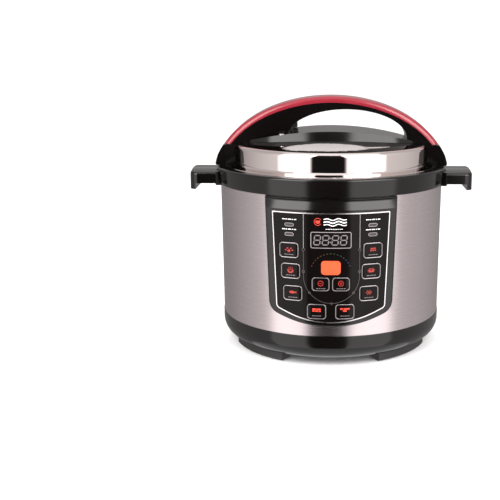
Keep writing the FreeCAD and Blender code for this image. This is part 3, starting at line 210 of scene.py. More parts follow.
# Blasted cast aluminium: pale grey with a 1 mm grain and darker heat staining in patches.
cast_aluminium, tree, shader, place = finish_named("blasted_cast_aluminium", Metallic=1.0)
grit = add(tree, "ShaderNodeTexNoise", values={"Scale": 1100.0, "Detail": 2.0}, links={"Vector": place})
stain = add(tree, "ShaderNodeTexNoise", values={"Scale": 30.0, "Detail": 4.0}, links={"Vector": place})
shade = add(tree, "ShaderNodeMix", {"data_type": "RGBA"}, links={0: stain.outputs["Fac"]})
shade.inputs[6].default_value = linear("#A9A6A0")
shade.inputs[7].default_value = linear("#CFCDC9")
gloss = add(tree, "ShaderNodeMapRange", values={"To Min": 0.36, "To Max": 0.56},
            links={"Value": stain.outputs["Fac"]})
relief = add(tree, "ShaderNodeBump", values={"Strength": 0.2, "Distance": 0.0002},
             links={"Height": grit.outputs["Fac"]})
tree.links.new(shade.outputs[2], shader.inputs["Base Color"])
tree.links.new(gloss.outputs["Result"], shader.inputs["Roughness"])
tree.links.new(relief.outputs["Normal"], shader.inputs["Normal"])
dress(cast_aluminium, "heating_plate", "temperature_sensor", "vent_weight")

# Heat-tinted sheath: steel gone straw and brown where the element runs hottest.
tinted_sheath, tree, shader, place = finish_named("heat_tinted_sheath", Metallic=1.0, Roughness=0.4)
tint = add(tree, "ShaderNodeTexNoise", values={"Scale": 26.0, "Detail": 3.0}, links={"Vector": place})
shade = add(tree, "ShaderNodeMix", {"data_type": "RGBA"}, links={0: tint.outputs["Fac"]})
shade.inputs[6].default_value = linear("#6E5A48")
shade.inputs[7].default_value = linear("#A99A86")
tree.links.new(shade.outputs[2], shader.inputs["Base Color"])
dress(tinted_sheath, "heating_element")

# Drawn spring wire: dark oiled steel with lengthwise drawing marks.
spring_wire, tree, shader, place = finish_named("drawn_spring_wire", Metallic=1.0)
marks = add(tree, "ShaderNodeTexNoise", values={"Scale": 700.0, "Detail": 3.0}, links={"Vector": place})
shade = add(tree, "ShaderNodeMix", {"data_type": "RGBA"}, links={0: marks.outputs["Fac"]})
shade.inputs[6].default_value = linear("#5E5D60")
shade.inputs[7].default_value = linear("#8C8B8D")
gloss = add(tree, "ShaderNodeMapRange", values={"To Min": 0.25, "To Max": 0.4},
            links={"Value": marks.outputs["Fac"]})
tree.links.new(shade.outputs[2], shader.inputs["Base Color"])
tree.links.new(gloss.outputs["Result"], shader.inputs["Roughness"])
dress(spring_wire, "sensor_spring")


# Inner pot: spun aluminium, sprayed inside and out with a dark non-stick coating and baked.
# Pale flecks a little under a millimetre across float in the coating.

# Non-stick coating: charcoal grey, softly shining, with scattered flecks.
non_stick, tree, shader, place = finish_named("flecked_non_stick_coating", IOR=1.45)
flecks = add(tree, "ShaderNodeTexVoronoi", values={"Scale": 520.0}, links={"Vector": place})
dots = add(tree, "ShaderNodeMapRange",
           values={"From Min": 0.16, "From Max": 0.24, "To Min": 1.0, "To Max": 0.0},
           links={"Value": flecks.outputs["Distance"]})
tone = add(tree, "ShaderNodeSeparateColor", links={"Color": flecks.outputs["Color"]})
few = add(tree, "ShaderNodeMath", {"operation": "GREATER_THAN"}, {1: 0.72}, {0: tone.outputs["Blue"]})
both = add(tree, "ShaderNodeMath", {"operation": "MULTIPLY"},
           links={0: dots.outputs["Result"], 1: few.outputs[0]})
shade = add(tree, "ShaderNodeMix", {"data_type": "RGBA"}, links={0: both.outputs[0]})
shade.inputs[6].default_value = linear("#37373A")
shade.inputs[7].default_value = linear("#B4B2B0")
gloss = add(tree, "ShaderNodeMapRange", values={"To Min": 0.28, "To Max": 0.4},
            links={"Value": tone.outputs["Red"]})
tree.links.new(shade.outputs[2], shader.inputs["Base Color"])
tree.links.new(gloss.outputs["Result"], shader.inputs["Roughness"])
dress(non_stick, "inner_pot")


# Boards: the power board on the floor of the base and the control board behind the panel, of green glass
# epoxy with its copper tracks under the mask. The parts on them are black epoxy with a dull face.

# Solder-masked board: green with paler tracks about 4 mm apart, coarser than the real ones, to show.
board_green, tree, shader, place = finish_named("solder_masked_board", IOR=1.5, Roughness=0.32)
tracks = add(tree, "ShaderNodeTexBrick", values={"Scale": 60.0, "Mortar Size": 0.05, "Row Height": 0.22},
             links={"Vector": place})
tracks.inputs["Color1"].default_value = linear("#10502E")
tracks.inputs["Color2"].default_value = linear("#0E472A")
tracks.inputs["Mortar"].default_value = linear("#2E7A49")
tree.links.new(tracks.outputs["Color"], shader.inputs["Base Color"])
dress(board_green, "power_board", "control_board")

# Black epoxy: dull, with a faint 2 mm flow mark.
epoxy_black, tree, shader, place = finish_named("black_epoxy_moulding", IOR=1.55)
flow = add(tree, "ShaderNodeTexNoise", values={"Scale": 500.0, "Detail": 2.0}, links={"Vector": place})
shade = add(tree, "ShaderNodeMix", {"data_type": "RGBA"}, links={0: flow.outputs["Fac"]})
shade.inputs[6].default_value = linear("#1A1A1C")
shade.inputs[7].default_value = linear("#2C2C2F")
gloss = add(tree, "ShaderNodeMapRange", values={"To Min": 0.4, "To Max": 0.55},
            links={"Value": flow.outputs["Fac"]})
tree.links.new(shade.outputs[2], shader.inputs["Base Color"])
tree.links.new(gloss.outputs["Result"], shader.inputs["Roughness"])
dress(epoxy_black, "power_components", "display_module", "tact_switches")


# Panel face: a bowed sheet of black acrylic, printed on its back and glued into the bezel, with a thin
# chrome-plated trim round it. The prints show as crisp marks that lie level with the polished front.

# Black acrylic: glass-smooth, very dark, with a barely warm tone.
black_acrylic, tree, shader, place = finish_named("back_printed_acrylic", IOR=1.49, Specular_IOR_Level=0.12)
depth = add(tree, "ShaderNodeTexNoise", values={"Scale": 22.0, "Detail": 2.0}, links={"Vector": place})
shade = add(tree, "ShaderNodeMix", {"data_type": "RGBA"}, links={0: depth.outputs["Fac"]})
shade.inputs[6].default_value = linear("#070505")
shade.inputs[7].default_value = linear("#0F0B0B")
gloss = add(tree, "ShaderNodeMapRange", values={"To Min": 0.05, "To Max": 0.1},
            links={"Value": depth.outputs["Fac"]})
tree.links.new(shade.outputs[2], shader.inputs["Base Color"])
tree.links.new(gloss.outputs["Result"], shader.inputs["Roughness"])
dress(black_acrylic, "panel_overlay")

# Smoked lens: dark tinted acrylic over the digits.
smoked_lens, tree, shader, place = finish_named("smoked_acrylic", IOR=1.49, Specular_IOR_Level=0.15)
depth = add(tree, "ShaderNodeTexNoise", values={"Scale": 40.0, "Detail": 1.0}, links={"Vector": place})
shade = add(tree, "ShaderNodeMix", {"data_type": "RGBA"}, links={0: depth.outputs["Fac"]})
shade.inputs[6].default_value = linear("#0D0A0B")
shade.inputs[7].default_value = linear("#151112")
gloss = add(tree, "ShaderNodeMapRange", values={"To Min": 0.06, "To Max": 0.1},
            links={"Value": depth.outputs["Fac"]})
tree.links.new(shade.outputs[2], shader.inputs["Base Color"])
tree.links.new(gloss.outputs["Result"], shader.inputs["Roughness"])
dress(smoked_lens, "display_window")

# Chrome plating on plastic: bright, with a soft 30 mm waviness.
chrome_plate, tree, shader, place = finish_named("chrome_plated_trim", Metallic=1.0)
wave = add(tree, "ShaderNodeTexNoise", values={"Scale": 33.0, "Detail": 2.0}, links={"Vector": place})
shade = add(tree, "ShaderNodeMix", {"data_type": "RGBA"}, links={0: wave.outputs["Fac"]})
shade.inputs[6].default_value = linear("#D3CECF")
shade.inputs[7].default_value = linear("#EAE6E7")
gloss = add(tree, "ShaderNodeMapRange", values={"To Min": 0.22, "To Max": 0.34},
            links={"Value": wave.outputs["Fac"]})
tree.links.new(shade.outputs[2], shader.inputs["Base Color"])
tree.links.new(gloss.outputs["Result"], shader.inputs["Roughness"])
dress(chrome_plate, "panel_trim")

# Lamp windows: milky clear slots with dark print round them.
lamp_clear, tree, shader, place = finish_named("lamp_window_acrylic", IOR=1.49)
mist = add(tree, "ShaderNodeTexNoise", values={"Scale": 300.0, "Detail": 2.0}, links={"Vector": place})
shade = add(tree, "ShaderNodeMix", {"data_type": "RGBA"}, links={0: mist.outputs["Fac"]})
shade.inputs[6].default_value = linear("#241E1F")
shade.inputs[7].default_value = linear("#3A3233")
gloss = add(tree, "ShaderNodeMapRange", values={"To Min": 0.1, "To Max": 0.2},
            links={"Value": mist.outputs["Fac"]})
tree.links.new(shade.outputs[2], shader.inputs["Base Color"])
tree.links.new(gloss.outputs["Result"], shader.inputs["Roughness"])
dress(lamp_clear, "lamp_lenses")


# Printed marks: screen-printed lines and signs on the panel face. Each stroke is a film of ink 0.05 mm
# thick that follows the face's curve. All sizes here are in millimetres.
MM = 0.001
face_radius = -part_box("panel_overlay")[0].y / MM
ink_sink = 0.05
ink_film = 0.05


def stroke(path, width, radius=face_radius, closed=False):
    """A film of ink along a path of (x, z) points on a cylinder about the upright axis. At each point
    the section is a rectangle: half the width to either side along the path's normal, from ink_sink
    under the radius to ink_film over it. x turns into the angle arcsin(x / radius)."""
    if closed:
        step = np.roll(path, -1, 0) - np.roll(path, 1, 0)
    else:
        step = np.gradient(path, axis=0)
    normal = np.stack([-step[:, 1], step[:, 0]], 1) / np.hypot(*step.T)[:, None]
    side = np.array([-0.5, 0.5, 0.5, -0.5])[None, :, None] * width
    flat = path[:, None, :] + normal[:, None, :] * side
    height = radius + np.array([-ink_sink, -ink_sink, ink_film, ink_film])
    angle = np.arcsin(flat[..., 0] / radius)
    grid = np.stack([height * np.sin(angle), -height * np.cos(angle), flat[..., 1]], -1)
    return grid * MM, closed


def spot(outline, radius=face_radius):
    """A filled film of ink: the outline at ink_sink under the radius and at ink_film over it, closed by
    a flat face at each end."""
    height = radius + np.array([-ink_sink, ink_film])[:, None]
    angle = np.arcsin(outline[:, 0] / radius)[None, :]
    level = np.repeat(outline[None, :, 1], 2, 0)
    grid = np.stack([height * np.sin(angle), -height * np.cos(angle), level], -1)
    return grid * MM, False


def solid_from(name, grids, material, body, smooth_deg=None):
    """Joins closed bands into one mesh. In each band the columns always meet round the section; the
    rows meet too when the band is closed, and otherwise its two ends are faced."""
    corners, faces, start = [], [], 0
    for grid, closed in grids:
        rows, columns = grid.shape[:2]
        index = np.arange(rows * columns).reshape(rows, columns) + start
        around = np.concatenate([index, index[:, :1]], 1)
        if closed:
            around = np.concatenate([around, around[:1]], 0)
        else:
            faces += [index[0].tolist(), index[-1, ::-1].tolist()]
        quads = np.stack([around[:-1, :-1], around[1:, :-1], around[1:, 1:], around[:-1, 1:]], -1)
        faces += quads.reshape(-1, 4).tolist()
        corners.append(grid.reshape(-1, 3))
        start += rows * columns
    mesh = bpy.data.meshes.new(name)
    mesh.from_pydata(np.concatenate(corners).tolist(), [], faces)
    work = bmesh.new()
    work.from_mesh(mesh)
    bmesh.ops.recalc_face_normals(work, faces=work.faces)
    work.to_mesh(mesh)
    work.free()
    if smooth_deg is not None:
        mesh.shade_smooth()
        mesh.set_sharp_from_angle(angle=math.radians(smooth_deg))
    mesh.materials.append(material)
    piece = bpy.data.objects.new(name, mesh)
    scene.collection.objects.link(piece)
    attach(piece, body)
    return piece


def line(*points, steps=12):
    """Straight runs through the points, each split evenly into steps."""
    knots = np.array(points, float)
    share = np.linspace(0, 1, steps)[None, :, None]
    runs = knots[:-1, None] * (1 - share) + knots[1:, None] * share
    runs = runs.reshape(-1, 2)
    keep = np.concatenate([[True], np.hypot(*np.diff(runs, axis=0).T) > 1e-9])
    return runs[keep]


def arc(x, z, radius, first_deg, last_deg, steps=40, squeeze=1.0):
    """Part of a circle about (x, z): x + r cos t, z + r sin t times the squeeze."""
    turn = np.radians(np.linspace(first_deg, last_deg, steps))
    return np.stack([x + radius * np.cos(turn), z + radius * squeeze * np.sin(turn)], 1)


def round_box(x, z, width, height, corner, steps=64):
    """A rounded rectangle: the corner circle's point for each turn, moved out to the corner that the
    turn's quadrant belongs to, then spaced evenly along the outline."""
    turn = (np.arange(96) + 0.5) / 96 * 2 * np.pi
    across = np.sign(np.cos(turn)) * (width / 2 - corner) + corner * np.cos(turn)
    up = np.sign(np.sin(turn)) * (height / 2 - corner) + corner * np.sin(turn)
    loop = np.stack([np.append(across, across[0]), np.append(up, up[0])], 1)
    run = np.concatenate([[0], np.cumsum(np.hypot(*np.diff(loop, axis=0).T))])
    even = np.linspace(0, run[-1], steps, endpoint=False)
    return np.stack([x + np.interp(even, run, loop[:, 0]), z + np.interp(even, run, loop[:, 1])], 1)


def ink(name, colour_low, colour_high, roughness):
    """Screen ink in one colour that thins and thickens over about 3 mm, as ink drawn by a squeegee."""
    material, tree, shader, place = finish_named(name, IOR=1.48, Roughness=roughness)
    pull = add(tree, "ShaderNodeTexNoise", values={"Scale": 330.0, "Detail": 2.0}, links={"Vector": place})
    tone = add(tree, "ShaderNodeMix", {"data_type": "RGBA"}, links={0: pull.outputs["Fac"]})
    tone.inputs[6].default_value = linear(colour_low)
    tone.inputs[7].default_value = linear(colour_high)
    tree.links.new(tone.outputs[2], shader.inputs["Base Color"])
    return material


white_ink = ink("white_screen_ink", "#E6E2E3", "#FFFFFF", 0.3)
grey_ink = ink("grey_screen_ink", "#7C7576", "#989192", 0.3)
dim_ink = ink("dim_grey_screen_ink", "#3E3738", "#554D4E", 0.3)
red_ink = ink("red_screen_ink", "#8A2019", "#A92A20", 0.3)
bright_red_ink = ink("bright_red_screen_ink", "#C23426", "#E0442F", 0.3)
label_ink = ink("label_screen_ink", "#5E5758", "#766E6F", 0.3)

divider_left = -32.0
divider_right = 33.5
divider_top = 190.6
divider_foot = 150.2
ring_radius = 1.5
dial_centre = 117.5
dial_middle = (divider_left + divider_right) / 2
dial_radius = (divider_right - divider_left) / 2
display_z = 160.4
lamp_columns = (-48.6, 48.6)
marks = [
    stroke(line((divider_left, divider_top), (divider_left, divider_foot)), 0.55),
    stroke(line((divider_right, divider_top), (divider_right, divider_foot)), 0.55),
    stroke(round_box(0, display_z, 46.6, 18.6, 1.6, 80), 0.75, closed=True),
]
for lamp_x in lamp_columns:
    for lamp_z in (177.2, 166.0):
        marks.append(stroke(round_box(lamp_x, lamp_z, 10.0, 3.6, 1.75, 48), 0.55, closed=True))
solid_from("printed_lines", marks, grey_ink, "cooker")

faint = [
    stroke(line((divider_left, divider_foot - 2 * ring_radius), (divider_left, dial_centre)), 0.45),
    stroke(line((divider_right, divider_foot - 2 * ring_radius), (divider_right, dial_centre)), 0.45),
    stroke(arc(dial_middle, dial_centre, dial_radius, 180, 360, 70), 0.45),
]
for ring_x, ring_z in ((divider_left, 148.7), (divider_right, 148.7), (divider_left, 122.5),
                       (divider_right, 122.5)):
    faint.append(stroke(arc(ring_x, ring_z, ring_radius, 0, 350, 30), 0.5))
for ring_turn in (218, 270, 322):
    ring_x = dial_middle + dial_radius * math.cos(math.radians(ring_turn))
    ring_z = dial_centre + dial_radius * math.sin(math.radians(ring_turn))
    faint.append(stroke(arc(ring_x, ring_z, ring_radius * 0.8, 0, 350, 24), 0.45))
solid_from("printed_dial", faint, dim_ink, "cooker")

# The name's place takes a plain sign instead: a red pot in a ring and three long waves of steam.
wave_first = -8.6
wave_last = 18.0
wave_swell = 1.15
wave_x = np.linspace(wave_first, wave_last, 90)
wave_share = (wave_x - wave_first) / (wave_last - wave_first)
plume = []
for wave_z, wave_wide in ((184.9, 0.9), (181.6, 1.3), (178.3, 0.9)):
    swell = wave_swell * np.sin(wave_share * 12.0) * np.sin(wave_share * np.pi) ** 0.5
    plume.append(stroke(np.stack([wave_x, wave_z + swell], 1), wave_wide))
for dot in np.linspace(-6.0, 12.0, 10):
    plume.append(stroke(line((dot, 173.4), (dot + 1.2, 173.4), steps=3), 0.7))
for text_x in lamp_columns:
    for text_z in (183.6, 171.8):
        for bar_x, bar_long in ((-8.2, 3.4), (-4.2, 2.0), (-1.4, 3.8), (3.2, 1.6), (5.6, 3.0)):
            path = line((text_x + bar_x, text_z), (text_x + bar_x + bar_long - 0.3, text_z), steps=4)
            plume.append(stroke(path, 0.95))
solid_from("printed_signs", plume, white_ink, "cooker")
pot_sign = [
    stroke(arc(-15.3, 181.9, 4.1, 35, 325, 50), 0.6),
    spot(np.concatenate([arc(-15.3, 182.3, 2.6, 180, 360, 24),
                         line((-12.7, 183.4), (-17.9, 183.4), steps=6)])),
]
solid_from("printed_pot_sign", pot_sign, bright_red_ink, "cooker")

# A dashed arc over the middle key, from red through yellow to blue.
dash_centre = 120.5
dash_radius = 24.0
dash_first_deg = 160
dash_pitch_deg = 9.6
dash_long_deg = 4.5
dash_colours = ("#3F1814", "#3C2C15", "#2F3317", "#183024", "#18253C")
for dash_group, dash_colour in enumerate(dash_colours):
    dashes = []
    for dash in range(3):
        dash_turn = dash_first_deg - (dash_group * 3 + dash) * dash_pitch_deg
        path = arc(0.0, dash_centre, dash_radius, dash_turn, dash_turn - dash_long_deg, 6)
        dashes.append(stroke(path, 1.1))
    dash_ink = ink(f"dial_ink_{dash_group + 1}", dash_colour, dash_colour, 0.3)
    solid_from(f"printed_dial_dashes_{dash_group + 1}", dashes, dash_ink, "cooker")


# Display digits: four unlit seven-segment figures that show pale through the smoked window.
digit_wide = 7.0
digit_high = 11.0
digit_lean = 0.12
digit_gap = 0.75
digit_stroke = 1.1
digit_places = (-16.0, -6.2, 5.0, 14.8)
digit_grey = ink("unlit_segment_grey", "#6B6465", "#817A7B", 0.35)
segments = []
half = digit_high / 2
bars = (((-1, half), (1, half)), ((-1, 0), (1, 0)), ((-1, -half), (1, -half)),
        ((-1, 0), (-1, half)), ((1, 0), (1, half)), ((-1, -half), (-1, 0)), ((1, -half), (1, 0)))
for digit_x in digit_places:
    for (x0, z0), (x1, z1) in bars:
        ends = np.array([[x0 * digit_wide / 2, z0], [x1 * digit_wide / 2, z1]])
        gap = (ends[1] - ends[0]) / np.hypot(*(ends[1] - ends[0])) * digit_gap
        ends = ends + np.array([gap, -gap])
        ends[:, 0] += digit_x + digit_lean * ends[:, 1]
        segments.append(stroke(line(ends[0], ends[1], steps=5) + np.array([0, display_z]), digit_stroke))
for colon_z in (158.0, 162.8):
    segments.append(spot(arc(-0.6 + digit_lean * (colon_z - display_z), colon_z, 0.7, 0, 340, 18)))
solid_from("display_digits", segments, digit_grey, "cooker")


# Keys: eleven moulded caps that stand a little proud of the face. Each carries a crowned lens: on the ten
# black keys an acrylic lens in a plated rim, with its sign and label printed on the lens, and on the orange
# key a bare lens of orange ABS. They ride down together when a key is pressed.
key_proud = 0.3
key_corner = 4.0
lens_margin = 1.9
lens_corner = 3.2
lens_crown = 0.45
orange_crown = 0.2
rim_width = 1.15
rim_height = 0.5

# Key moulding: glossy black ABS, with flow marks about 5 mm apart.
key_abs, tree, shader, place = finish_named("black_key_abs", IOR=1.53)
flow = add(tree, "ShaderNodeTexNoise", values={"Scale": 200.0, "Detail": 2.0}, links={"Vector": place})
shade = add(tree, "ShaderNodeMix", {"data_type": "RGBA"}, links={0: flow.outputs["Fac"]})
shade.inputs[6].default_value = linear("#0A0808")
shade.inputs[7].default_value = linear("#151111")
gloss = add(tree, "ShaderNodeMapRange", values={"To Min": 0.12, "To Max": 0.2},
            links={"Value": flow.outputs["Fac"]})
tree.links.new(shade.outputs[2], shader.inputs["Base Color"])
tree.links.new(gloss.outputs["Result"], shader.inputs["Roughness"])

# Orange key moulding: the same ABS dyed orange, a little duller.
orange_abs, tree, shader, place = finish_named("orange_key_abs", IOR=1.53)
flow = add(tree, "ShaderNodeTexNoise", values={"Scale": 260.0, "Detail": 3.0}, links={"Vector": place})
shade = add(tree, "ShaderNodeMix", {"data_type": "RGBA"}, links={0: flow.outputs["Fac"]})
shade.inputs[6].default_value = linear("#DC4620")
shade.inputs[7].default_value = linear("#E85628")
gloss = add(tree, "ShaderNodeMapRange", values={"To Min": 0.25, "To Max": 0.35},
            links={"Value": flow.outputs["Fac"]})
tree.links.new(shade.outputs[2], shader.inputs["Base Color"])
tree.links.new(gloss.outputs["Result"], shader.inputs["Roughness"])

# Plated rim: nickel over plastic, bright but hazed by handling in patches about 2 mm across.
rim_plate, tree, shader, place = finish_named("plated_key_rim", Metallic=1.0)
wear = add(tree, "ShaderNodeTexNoise", values={"Scale": 400.0, "Detail": 2.0}, links={"Vector": place})
shade = add(tree, "ShaderNodeMix", {"data_type": "RGBA"}, links={0: wear.outputs["Fac"]})
shade.inputs[6].default_value = linear("#8F8A8B")
shade.inputs[7].default_value = linear("#ABA6A7")
gloss = add(tree, "ShaderNodeMapRange", values={"To Min": 0.25, "To Max": 0.4},
            links={"Value": wear.outputs["Fac"]})
tree.links.new(shade.outputs[2], shader.inputs["Base Color"])
tree.links.new(gloss.outputs["Result"], shader.inputs["Roughness"])


def key_lens(x, z, width, height, corner, radius, crown):
    """A crowned lens: rings of the rounded rectangle shrunk by u, each standing crown times
    (1 - u to the sixth) and a hair over the cap, down to a small ring in the middle that is faced.
    The first ring is sunk straight down into the cap."""
    shrink = np.array([1.0, 1.0, 0.985, 0.95, 0.9, 0.82, 0.7, 0.5, 0.25, 0.08])
    rise = crown * (1 - shrink ** 6) + 0.02
    rise[0] = -0.1
    outline = round_box(0, 0, width, height, corner, 72)
    flat = outline[None] * shrink[:, None, None] + np.array([x, z])
    angle = np.arcsin(flat[..., 0] / radius)
    reach = (radius + rise)[:, None]
    grid = np.stack([reach * np.sin(angle), -reach * np.cos(angle), flat[..., 1]], -1)
    return grid * MM, False


def key_rim(x, z, width, height, corner, radius):
    """A half-round bead along the rounded rectangle: at each point of the outline the section is
    half the rim's width times cos t sideways and its height times sin t outwards."""
    turn = np.linspace(0, 2 * np.pi, 12, endpoint=False)
    side = rim_width / 2 * np.cos(turn)
    rise = np.where(np.sin(turn) > 0, rim_height * np.sin(turn), 0.1 * np.sin(turn))
    outline = round_box(x, z, width - rim_width, height - rim_width, corner - rim_width / 2, 96)
    step = np.roll(outline, -1, 0) - np.roll(outline, 1, 0)
    normal = np.stack([-step[:, 1], step[:, 0]], 1) / np.hypot(*step.T)[:, None]
    flat = outline[:, None, :] + normal[:, None, :] * side[None, :, None]
    angle = np.arcsin(flat[..., 0] / radius)
    reach = radius + rise[None, :]
    grid = np.stack([reach * np.sin(angle), -reach * np.cos(angle), flat[..., 1]], -1)
    return grid * MM, True


def bowl(x, z, radius, sign_radius):
    """A bowl: a filled half disc under a rim line."""
    return [spot(arc(x, z, radius, 180, 360, 20), sign_radius),
            stroke(line((x - radius * 1.15, z + 0.6), (x + radius * 1.15, z + 0.6), steps=6), 0.5,
                   sign_radius)]


def steam(x, z, sign_radius):
    """Three short wavy plumes."""
    height = np.linspace(0, 2.6, 10)
    return [stroke(np.stack([x + shift + 0.35 * np.sin(height * 3), z + height], 1), 0.45, sign_radius)
            for shift in (-1.9, 0.0, 1.9)]


def grains(x, z, sign_radius):
    """Five rice grains, as small ovals at a slant."""
    spots = []
    for dx, dz in ((-3.6, -1.0), (-1.6, 1.2), (0.4, -0.8), (2.4, 1.3), (4.2, -1.0)):
        spots.append(spot(arc(x + dx, z + dz, 1.15, 0, 345, 18, 0.62), sign_radius))
    return spots


def fish(x, z, sign_radius):
    """A fish: an oval body with a tail."""
    return [spot(arc(x - 0.8, z, 3.3, 0, 350, 26, 0.5), sign_radius),
            spot(np.array([[x + 2.0, z], [x + 4.4, z + 1.6], [x + 4.4, z - 1.6]]), sign_radius)]


def drum(x, z, sign_radius):
    """A lidded pot: a round-cornered body, a lid line and two ears."""
    return [spot(round_box(x, z - 0.6, 6.4, 3.6, 0.9, 32), sign_radius),
            stroke(line((x - 3.2, z + 2.0), (x + 3.2, z + 2.0), steps=6), 0.5, sign_radius),
            stroke(line((x - 4.6, z), (x - 3.4, z), steps=3), 0.6, sign_radius),
            stroke(line((x + 3.4, z), (x + 4.6, z), steps=3), 0.6, sign_radius)]


def cake(x, z, sign_radius):
    """A ring of six dots about a seventh."""
    spots = [spot(arc(x, z, 0.9, 0, 340, 16), sign_radius)]
    for turn in np.radians(np.arange(0, 360, 60)):
        spots.append(spot(arc(x + 2.7 * math.cos(turn), z + 2.0 * math.sin(turn), 0.75, 0, 340, 14),
                          sign_radius))
    return spots


def bars_sign(x, z, widths, sign_radius):
    """A row of thick dashes."""
    total = sum(widths) + 0.7 * (len(widths) - 1)
    strokes, at = [], x - total / 2
    for wide in widths:
        strokes.append(stroke(line((at, z), (at + wide, z), steps=4), 1.7, sign_radius))
        at += wide + 0.7
    return strokes


for key_name in ("key_left_top", "key_left_middle", "key_left_low", "key_right_top", "key_right_middle",
                 "key_right_low", "key_minus", "key_plus", "key_cancel", "key_start", "key_preset"):
    key_low, key_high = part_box(key_name)
    key_x = (key_low.x + key_high.x) / 2 / MM
    key_z = (key_low.z + key_high.z) / 2 / MM
    key_wide = (key_high.x - key_low.x) / MM
    key_tall = (key_high.z - key_low.z) / MM
    cap_radius = face_radius + key_proud
    is_orange = key_name == "key_preset"
    crown = orange_crown if is_orange else lens_crown
    dress(orange_abs if is_orange else key_abs, key_name)
    key_body = f"{key_name}_body"
    lens_material = orange_abs if is_orange else black_acrylic
    lens = key_lens(key_x, key_z, key_wide - lens_margin, key_tall - lens_margin, lens_corner, cap_radius,
                    crown)
    solid_from(f"{key_name}_lens", [lens], lens_material, key_body, 50)
    if is_orange:
        continue
    rim = key_rim(key_x, key_z, key_wide, key_tall, key_corner, cap_radius)
    solid_from(f"{key_name}_rim", [rim], rim_plate, key_body, 60)
    sign_radius = cap_radius + crown
    sign_z = key_z + 1.2
    if key_name == "key_left_top":
        sign = grains(key_x, sign_z, sign_radius) + bowl(key_x, sign_z - 1.4, 2.0, sign_radius)[:1]
    elif key_name == "key_left_middle":
        sign = bowl(key_x, sign_z - 0.2, 3.6, sign_radius) + steam(key_x, sign_z + 1.2, sign_radius)
    elif key_name == "key_left_low":
        sign = fish(key_x, sign_z, sign_radius)
    elif key_name == "key_right_top":
        sign = bars_sign(key_x, sign_z + 1.2, (2.4, 2.4), sign_radius) + bars_sign(key_x, sign_z - 1.0,
                                                                                   (2.0, 2.0, 1.4),
                                                                                   sign_radius)
    elif key_name == "key_right_middle":
        sign = drum(key_x, sign_z, sign_radius)
    elif key_name == "key_right_low":
        sign = cake(key_x, sign_z, sign_radius)
    elif key_name == "key_minus":
        sign = [stroke(arc(key_x, sign_z, 3.0, 0, 350, 40), 0.8, sign_radius),
                stroke(line((key_x - 1.5, sign_z), (key_x + 1.5, sign_z), steps=4), 0.8, sign_radius)]
    elif key_name == "key_plus":
        sign = [stroke(arc(key_x, sign_z, 3.0, 0, 350, 40), 0.8, sign_radius),
                stroke(line((key_x - 1.5, sign_z), (key_x + 1.5, sign_z), steps=4), 0.8, sign_radius),
                stroke(line((key_x, sign_z - 1.5), (key_x, sign_z + 1.5), steps=4), 0.8, sign_radius)]
    elif key_name == "key_cancel":
        sign = bars_sign(key_x, sign_z + 2.0, (5.0, 4.0), sign_radius) + bars_sign(key_x, sign_z - 0.3,
                                                                                   (3.0, 3.4, 2.2),
                                                                                   sign_radius)
    else:
        sign = bars_sign(key_x, sign_z + 2.4, (3.4, 7.0), sign_radius) + bars_sign(key_x, sign_z - 0.1,
                                                                                   (4.4,), sign_radius)
    sign_ink = bright_red_ink if key_name in ("key_cancel", "key_start") else red_ink
    solid_from(f"{key_name}_sign", sign, sign_ink, key_body)
    label = []
    label_z = key_z - 5.0
    for bar_x, bar_long in ((-5.2, 2.6), (-2.0, 1.6), (0.2, 2.2), (3.0, 2.4)):
        path = line((key_x + bar_x, label_z), (key_x + bar_x + bar_long, label_z), steps=4)
        label.append(stroke(path, 0.8, sign_radius))
    solid_from(f"{key_name}_label", label, label_ink, key_body)


# Lid: one pressing of stainless sheet, polished like a mirror on a wheel. An etched patch on the front of
# the dome scatters the light and looks white.

# Mirror-polished stainless steel: faint swirl from the wheel, with the etched patch masked in.
mirror_steel, tree, shader, place = finish_named("mirror_polished_stainless_steel", Metallic=1.0)
swirl = add(tree, "ShaderNodeTexNoise", values={"Scale": 9.0, "Detail": 1.5}, links={"Vector": place})
relief = add(tree, "ShaderNodeBump", values={"Strength": 0.12, "Distance": 0.0015},
             links={"Height": swirl.outputs["Fac"]})
centred = add(tree, "ShaderNodeMapping", {"vector_type": "TEXTURE"},
              {"Location": (-0.0075, -0.0875, 0.26), "Scale": (0.0505, 0.021, 0.02)}, {"Vector": place})
reach = add(tree, "ShaderNodeVectorMath", {"operation": "LENGTH"}, links={0: centred.outputs["Vector"]})
ragged = add(tree, "ShaderNodeTexNoise", values={"Scale": 420.0, "Detail": 3.0}, links={"Vector": place})
edge = add(tree, "ShaderNodeMath", {"operation": "MULTIPLY_ADD"}, {1: 0.5},
           {0: ragged.outputs["Fac"], 2: reach.outputs["Value"]})
patch = add(tree, "ShaderNodeMapRange",
            values={"From Min": 1.2, "From Max": 1.28, "To Min": 1.0, "To Max": 0.0},
            links={"Value": edge.outputs[0]})
shade = add(tree, "ShaderNodeMix", {"data_type": "RGBA"}, links={0: patch.outputs["Result"]})
shade.inputs[6].default_value = linear("#E3D8D5")
shade.inputs[7].default_value = linear("#DAD6D5")
gloss = add(tree, "ShaderNodeMapRange", values={"To Min": 0.045, "To Max": 0.6},
            links={"Value": patch.outputs["Result"]})
tree.links.new(shade.outputs[2], shader.inputs["Base Color"])
tree.links.new(gloss.outputs["Result"], shader.inputs["Roughness"])
tree.links.new(relief.outputs["Normal"], shader.inputs["Normal"])
dress(mirror_steel, "lid_shell")

